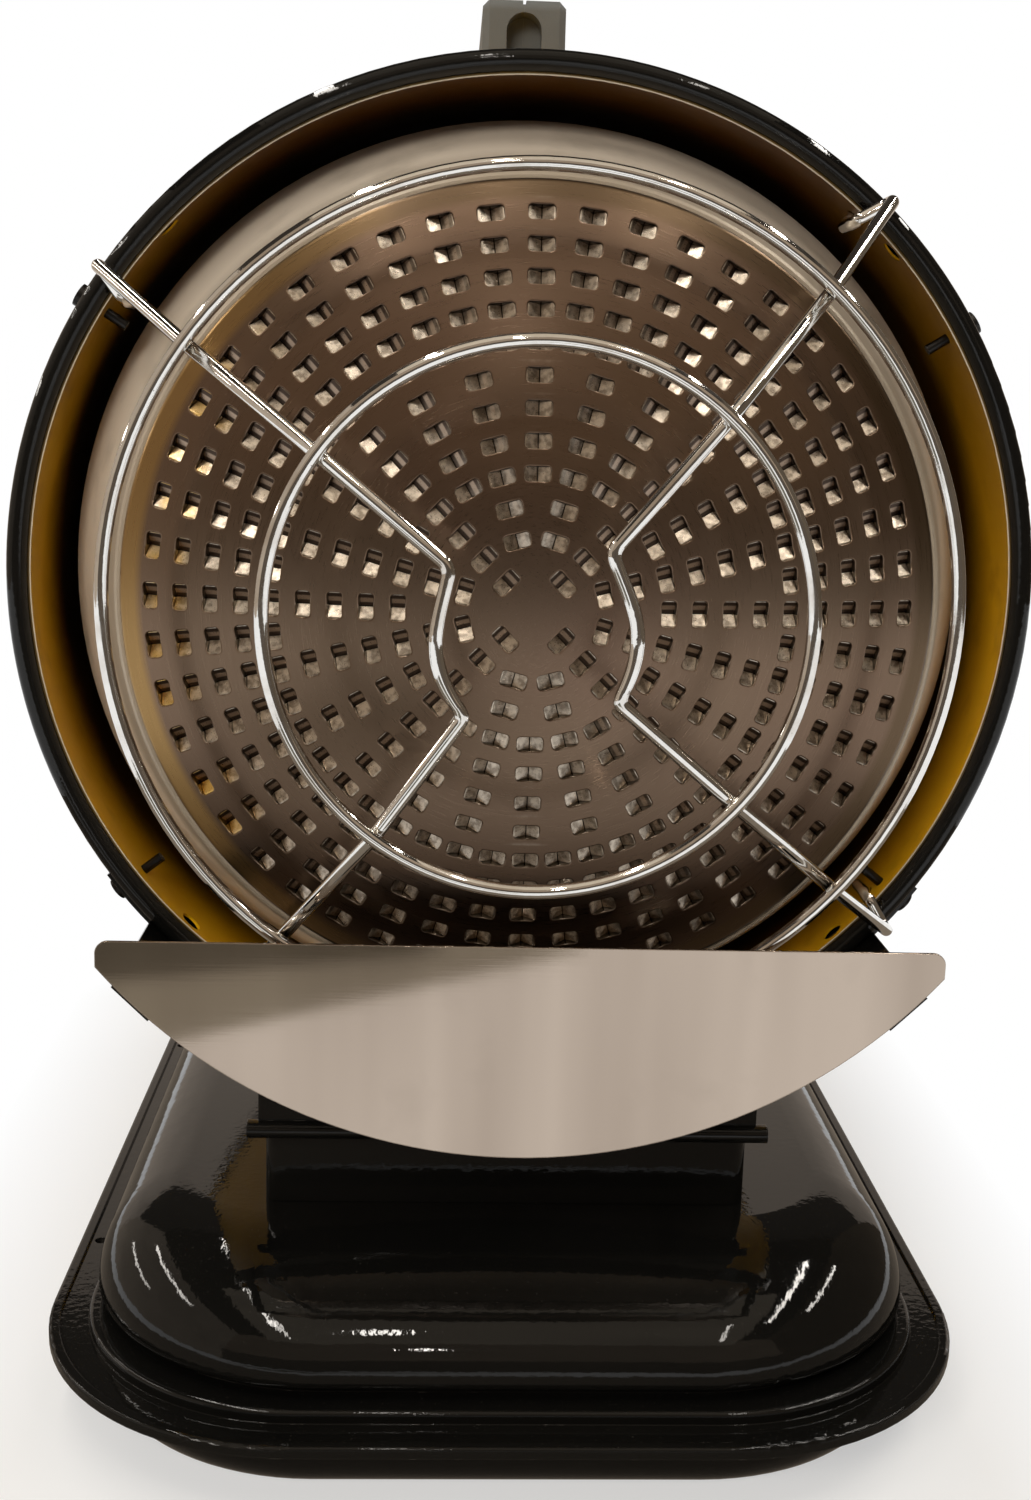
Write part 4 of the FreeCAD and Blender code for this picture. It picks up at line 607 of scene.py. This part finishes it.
def front_faces(places, faces):
    """The same triangles, all wound to look outwards."""
    wound = []
    for a, b, c in faces:
        (ax, az), (bx, bz), (cx, cz) = places[a], places[b], places[c]
        turn = (bx - ax) * (cz - az) - (bz - az) * (cx - ax)
        wound.append((a, b, c) if turn > 0 else (a, c, b))
    return wound


def add_face(sheet, places, faces):
    """Triangles of the disc's outer face between these places."""
    points = [disc_point(*place) for place in places]
    normals = [disc_normal(*place) for place in places]
    sheet.add(points, normals, front_faces(places, faces))


def add_sector(sheet, radius, angle, steps):
    """Piece of the disc around one perforation."""
    first = round(angle / (2 * math.pi) * circle_points - steps / 2)
    low = radius - perforation_pitch / 2
    high = radius + perforation_pitch / 2
    border = [circle_place(low, first + step) for step in range(steps + 1)]
    border += [circle_place(high, first + step) for step in reversed(range(steps + 1))]
    hole = [hole_place(radius, angle, *offset) for offset in hole_outline(0.0)]
    loops = [[Vector((x, z, 0.0)) for x, z in loop] for loop in (border, hole)]
    add_face(sheet, border + hole, tessellate_polygon(loops))


def add_lip(sheet, radius, angle):
    """Edge of one perforation, rolled inwards."""
    centre = hole_place(radius, angle, 0.0, 0.0)
    rows = []
    row_normals = []
    for step in range(lip_steps + 1):
        bend = math.radians(90) * step / lip_steps
        row = []
        normals = []
        for tangent, radial in hole_outline(lip_radius * math.sin(bend)):
            place = hole_place(radius, angle, tangent, radial)
            inward = Vector((centre[0] - place[0], 0.0, centre[1] - place[1])).normalized()
            row.append(disc_point(*place, lip_radius * (1 - math.cos(bend))))
            normals.append(math.cos(bend) * disc_normal(*place) + math.sin(bend) * inward)
        rows.append(row)
        row_normals.append(normals)
    sheet.grid(rows, row_normals, True)


def flap_path():
    """Rows of a flap as (distance from its end of the perforation, drop, bend)."""
    tilt = math.radians(flap_tilt)
    reach = perforation_tangent / 2 - lip_radius - flap_slit / 2
    bends = [tilt * step / flap_steps for step in range(flap_steps + 1)]
    rows = [(flap_bend * math.sin(bend), flap_bend * (1 - math.cos(bend)), bend) for bend in bends]
    run, drop, _ = rows[-1]
    return rows + [(reach, drop + (reach - run) * math.tan(tilt), tilt)]


def add_flap(sheet, radius, angle, side):
    """One of the two tongues of a perforation, bent inwards from its end and slightly hollow."""
    half = perforation_radial / 2 - lip_radius - flap_side_gap
    out = Vector((math.cos(angle), 0.0, math.sin(angle)))
    slope = Vector((math.sin(angle), 0.0, -math.cos(angle))) * side
    rows = []
    row_normals = []
    for run, drop, bend in flap_path():
        tangent = side * (perforation_tangent / 2 - lip_radius - run)
        row = []
        normals = []
        for across in flap_columns:
            place = hole_place(radius, angle, tangent, across * half)
            face = math.cos(bend) * disc_normal(*place) + math.sin(bend) * slope
            row.append(disc_point(*place, lip_radius + drop + flap_hollow * (1 - across ** 2)))
            normals.append((face - 2 * flap_hollow / half * across * out).normalized())
        rows.append(row if side > 0 else row[::-1])
        row_normals.append(normals if side > 0 else normals[::-1])
    sheet.grid(rows, row_normals, False)


def add_cheeks(sheet, radius, angle, side):
    """Walls that close the hollow in front of one tongue at its two edges."""
    half = perforation_radial / 2 - lip_radius
    out = Vector((math.cos(angle), 0.0, math.sin(angle)))
    for edge in (-1, 1):
        upper = []
        lower = []
        for run, drop, _ in flap_path():
            tangent = side * (perforation_tangent / 2 - lip_radius - run)
            place = hole_place(radius, angle, tangent, edge * half)
            upper.append(disc_point(*place, lip_radius))
            lower.append(disc_point(*place, lip_radius + drop))
        rows = [upper, lower] if side == edge else [upper[::-1], lower[::-1]]
        normals = [-edge * out] * len(upper)
        sheet.grid(rows, [normals, normals], False)


def add_middle(sheet):
    """Plain patch inside the first ring of perforations."""
    places = circle_places(perforation_first - perforation_pitch / 2) + [(0.0, 0.0)]
    faces = [(circle_points, step, (step + 1) % circle_points) for step in range(circle_points)]
    add_face(sheet, places, faces)


def add_disc_edge(sheet):
    """Plain border outside the last ring of perforations, rounded over into the turned edge."""
    last = perforation_first + (len(perforation_rings) - 0.5) * perforation_pitch
    flat = disc_radius - disc_rounding
    flat_depth = disc_point(flat, 0.0).y
    tilt = math.asin(flat / disc_sphere)
    rows = [[disc_point(*place) for place in circle_places(radius)] for radius in (last, flat)]
    row_normals = [[disc_normal(*place) for place in circle_places(radius)] for radius in (last, flat)]
    for step in range(1, edge_steps + 1):
        bend = tilt + (math.pi / 2 - tilt) * step / edge_steps
        radius = disc_radius - disc_rounding * (1 - math.sin(bend)) / (1 - math.sin(tilt))
        depth = flat_depth + disc_rounding * (math.cos(tilt) - math.cos(bend))
        places = circle_places(radius)
        lean = math.sin(bend) / radius
        rows.append([Vector((axis_x + x, depth, axis_z + z)) for x, z in places])
        row_normals.append([Vector((lean * x, -math.cos(bend), lean * z)) for x, z in places])
    rows.append([Vector((p.x, disc_high.y, p.z)) for p in rows[-1]])
    row_normals.append(row_normals[-1])
    sheet.grid(rows, row_normals, True)


def lanced_disc():
    """The radiant disc with each perforation lanced: rolled edge, two tongues bent inwards and side walls."""
    sheet = SheetMesh()
    add_middle(sheet)
    for count, (holes, offset) in enumerate(perforation_rings):
        radius = perforation_first + count * perforation_pitch
        for hole in range(holes):
            angle = math.radians(offset + 360.0 * hole / holes)
            add_sector(sheet, radius, angle, circle_points // holes)
            add_lip(sheet, radius, angle)
            for side in (1, -1):
                add_flap(sheet, radius, angle, side)
                add_cheeks(sheet, radius, angle, side)
    add_disc_edge(sheet)
    return sheet.finish("lanced_disc")


def cad_bow(side):
    """Distance from the drum's axis of the CAD wire's middle run, whose corner is rounded."""
    slope = (wire_bow - wire_kink_out) / wire_kink_side
    turn = math.atan(slope)
    if abs(side) < wire_bow_bend * math.sin(turn):
        return wire_bow - wire_bow_bend / math.cos(turn) + math.sqrt(wire_bow_bend ** 2 - side ** 2)
    return wire_bow - slope * abs(side)


def bow_shift(side, low, high, reach, lean):
    """Shift from the CAD wire's middle run to the smooth bow between two kinks."""
    place = side / wire_kink_side
    share = (place + 1) / 2
    chord = (1 - share) * low[0] + share * high[0]
    rise = (1 - place ** 2) * (1 + lean * place - bow_flatness * place ** 2)
    sag = rise * (reach - (low[0] + high[0]) / 2)
    return chord + sag - cad_bow(side), (1 - share) * low[1] + share * high[1] - side


def leg_shift(out, side, kink):
    """Shift of a leg, which follows its kink and stays where it passes the inner ring."""
    share = (wire_ring_radius - math.hypot(out, side)) / (wire_ring_radius - wire_kink_radius)
    share = min(max(share, 0.0), 1.0)
    return share * (kink[0] - wire_kink_out), share * (kink[1] - math.copysign(wire_kink_side, side))


def cut_middle_run(work, along):
    """Cuts the middle run of a wire across, so that it can be bent."""
    for cut in range(1, wire_cuts):
        place = drum_axis + wire_kink_side * (2 * cut / wire_cuts - 1) * along
        whole = work.verts[:] + work.edges[:] + work.faces[:]
        bmesh.ops.bisect_plane(work, geom=whole, plane_co=place, plane_no=along)


def bowed_wire(node, middle, low, high, reach, lean):
    """A bent wire of the guard with a smooth bow in place of its cornered middle run."""
    out = Vector((math.cos(math.radians(middle)), 0.0, math.sin(math.radians(middle))))
    along = Vector((-out.z, 0.0, out.x))
    work = bmesh.new()
    work.from_mesh(frame["nodes"][node].data)
    work.transform(frame["nodes"][node].matrix_world)
    bmesh.ops.remove_doubles(work, verts=work.verts, dist=wire_merge)
    cut_middle_run(work, along)
    for point in work.verts:
        apart = point.co - drum_axis
        side = apart.dot(along)
        if abs(side) < wire_kink_side:
            shift = bow_shift(side, low, high, reach, lean)
        else:
            shift = leg_shift(apart.dot(out), side, high if side > 0 else low)
        point.co += shift[0] * out + shift[1] * along
    mesh = bpy.data.meshes.new("bowed_" + node)
    work.to_mesh(mesh)
    work.free()
    mesh.shade_smooth()
    mesh.set_sharp_from_angle(angle=wire_sharp_angle)
    return placed("bowed_" + node, mesh)


def studio_camera():
    """Camera at the place and angle that the photograph was taken from."""
    forward = Vector((math.sin(camera_yaw) * math.cos(camera_pitch),
                      math.cos(camera_yaw) * math.cos(camera_pitch), -math.sin(camera_pitch)))
    level = Vector((math.cos(camera_yaw), -math.sin(camera_yaw), 0.0))
    down = forward.cross(level)
    right = math.cos(camera_roll) * level + math.sin(camera_roll) * down
    below = math.cos(camera_roll) * down - math.sin(camera_roll) * level
    data = bpy.data.cameras.new("camera")
    data.sensor_fit = "VERTICAL"
    data.sensor_height = sensor_height
    data.lens = focal_pixels / image_height * sensor_height
    data.clip_start = camera_near
    made = placed("camera", data)
    turn = Matrix((right, -below, -forward)).transposed()
    made.matrix_world = Matrix.Translation(camera_place) @ turn.to_4x4()
    bpy.context.scene.camera = made


def shown_ray(tree):
    """1 for rays of the camera, of reflections and through glass, and 0 for rays that light the object."""
    path = tree.nodes.new("ShaderNodeLightPath")
    seen = path.outputs["Is Camera Ray"]
    for kind in ("Is Glossy Ray", "Is Transmission Ray"):
        either = tree.nodes.new("ShaderNodeMath")
        either.operation = "MAXIMUM"
        tree.links.new(seen, either.inputs[0])
        tree.links.new(path.outputs[kind], either.inputs[1])
        seen = either.outputs[0]
    return seen


def studio_world():
    """White for the camera and for reflections, and a soft even fill for the object."""
    world = bpy.data.worlds.new("studio")
    world.use_nodes = True
    tree = world.node_tree
    tree.nodes.clear()
    fill = tree.nodes.new("ShaderNodeBackground")
    fill.inputs["Color"].default_value = srgb(236, 230, 222)
    fill.inputs["Strength"].default_value = fill_strength
    white = tree.nodes.new("ShaderNodeBackground")
    white.inputs["Color"].default_value = (1.0, 1.0, 1.0, 1.0)
    mix = tree.nodes.new("ShaderNodeMixShader")
    tree.links.new(shown_ray(tree), mix.inputs[0])
    tree.links.new(fill.outputs[0], mix.inputs[1])
    tree.links.new(white.outputs[0], mix.inputs[2])
    output = tree.nodes.new("ShaderNodeOutputWorld")
    tree.links.new(mix.outputs[0], output.inputs["Surface"])
    bpy.context.scene.world = world


def staged_plane(name, corners, material):
    """Flat piece of the studio between four corners."""
    mesh = bpy.data.meshes.new(name)
    mesh.from_pydata(corners, [], [(0, 1, 2, 3)])
    mesh.materials.append(material)
    made = placed(name, mesh)
    return made


def level_corners(left, right, near, far, height):
    """Corners of a level panel."""
    return [(left, near, height), (right, near, height), (right, far, height), (left, far, height)]


def cross_wall(along, low, high):
    """Corners of an upright panel that reaches across the room."""
    w = room_half
    return [(-w, along, low), (w, along, low), (w, along, high), (-w, along, high)]


def side_wall(across, low, high):
    """Corners of an upright panel along one side of the room."""
    w = room_half
    return [(across, -w, low), (across, w, low), (across, w, high), (across, -w, high)]


def studio_floor():
    """Pale floor that keeps the object's shadow and fades into the white background."""
    finish = Finish("floor", Roughness=0.6)
    finish.colour(finish.blend(finish.noise(3.0), srgb(240, 237, 232), srgb(246, 244, 240)))
    x, y, _ = finish.parts(finish.place)
    beside = finish.calc("SUBTRACT", finish.calc("ABSOLUTE", x), tank_high.x)
    beyond = finish.calc("SUBTRACT", finish.calc("ABSOLUTE", y), tank_high.y)
    away = finish.length(*[finish.calc("MAXIMUM", side, 0.0) for side in (beside, beyond)])
    fade = finish.span(away, 0.0, floor_fade, floor_lift, 1.0)
    white = finish.node("ShaderNodeEmission", Color=(1.0, 1.0, 1.0, 1.0), Strength=1.0)
    mix = finish.tree.nodes.new("ShaderNodeMixShader")
    finish.join(mix.inputs[0], finish.calc("MULTIPLY", fade, shown_ray(finish.tree)))
    finish.join(mix.inputs[1], finish.shader.outputs[0])
    finish.join(mix.inputs[2], white.outputs[0])
    finish.surface(mix.outputs[0])
    half = floor_half
    staged_plane("floor", level_corners(-half, half, -half, half, 0.0), finish.material)


def panel_cloth(name, tone):
    """Cloth of a studio panel, with a soft unevenness, that glows as a room does."""
    finish = Finish(name)
    cloth = finish.blend(finish.noise(1.3, 2.0), srgb(*tone), srgb(*[cloth_shade * part for part in tone]))
    finish.surface(finish.node("ShaderNodeEmission", Color=cloth, Strength=1.0).outputs[0])
    return finish.material


def mirrored_panel(name, corners, tone):
    """Panel that only reflections see."""
    made = staged_plane(name, corners, panel_cloth(name, tone))
    made.visible_camera = False
    made.visible_diffuse = False
    made.visible_transmission = False
    made.visible_shadow = False


def mirrored_room():
    """Room that the object mirrors: walls, top, a light ceiling, two darker patches on the floor, and painted
    shade on the floor around the heater.
    """
    w, h, low = room_half, room_height, room_gap
    ceiling = level_corners(-ceiling_half, ceiling_half, -w, ceiling_rear, ceiling_height)
    near_floor_shade = level_corners(-near_floor_shade_half, near_floor_shade_half, near_floor_shade_front, near_floor_shade_rear, mat_height)
    mirrored_panel("front_low_flag", cross_wall(-w, 0.0, front_split), (100, 90, 80))
    mirrored_panel("front_flag", cross_wall(-w, front_split, h), (174, 155, 135))
    mirrored_panel("back_flag", cross_wall(w, back_split, h), (80, 74, 68))
    mirrored_panel("back_low_flag", cross_wall(w, low, back_split), (222, 206, 190))
    mirrored_panel("left_flag", side_wall(-w, low, h), (196, 180, 162))
    mirrored_panel("right_flag", side_wall(w, low, h), (104, 92, 78))
    mirrored_panel("top_flag", level_corners(-w, w, -w, w, h), (60, 54, 48))
    mirrored_panel("ceiling", ceiling, (226, 210, 188))
    mirrored_panel("mat", [(x, y, mat_height) for x, y in mat_corners], (176, 172, 160))
    mirrored_panel("far_mat", [(x, y, far_mat_height) for x, y in far_mat_corners], (112, 108, 98))
    # painted shade of the floor around the heater, seen only in reflections
    mirrored_panel("near_floor_shade", near_floor_shade, (140, 128, 114))


def area_lamp(name, place, target, width, height, watts, mirrored):
    """Rectangular soft lamp that looks at a point."""
    data = bpy.data.lights.new(name, "AREA")
    data.shape = "RECTANGLE"
    data.size = width
    data.size_y = height
    data.energy = watts
    data.color = lamp_tint
    made = placed(name, data)
    made.location = place
    made.rotation_euler = (Vector(target) - Vector(place)).to_track_quat("-Z", "Y").to_euler()
    made.visible_glossy = mirrored


def studio_lamps():
    """Lamp for the front, two small ones for its highlights, and strips as of a lit ceiling."""
    for row in lamps:
        area_lamp(*row)
    for name, across, along, height, length, watts in strips:
        target = (0.0, along, strip_target_height)
        area_lamp(name, (across, along, height), target, length, strip_width, watts, True)


slot_finish = finishes()
for subpart in frame["record"]["subparts"]:
    frame["nodes"][subpart["node"]].data.materials[0] = slot_finish[subpart["material_slot"]]

disc = lanced_disc()
disc.data.materials.append(slot_finish["disc_steel"])
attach(disc, "drum")
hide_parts("radiant_disc")

for node, *bow in bent_wires:
    wire = bowed_wire(node, *bow)
    wire.data.materials.append(slot_finish["guard_chrome"])
    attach(wire, "drum")
    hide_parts(node)

studio_camera()
studio_world()
studio_floor()
mirrored_room()
studio_lamps()

bpy.context.scene.view_settings.view_transform = "Standard"
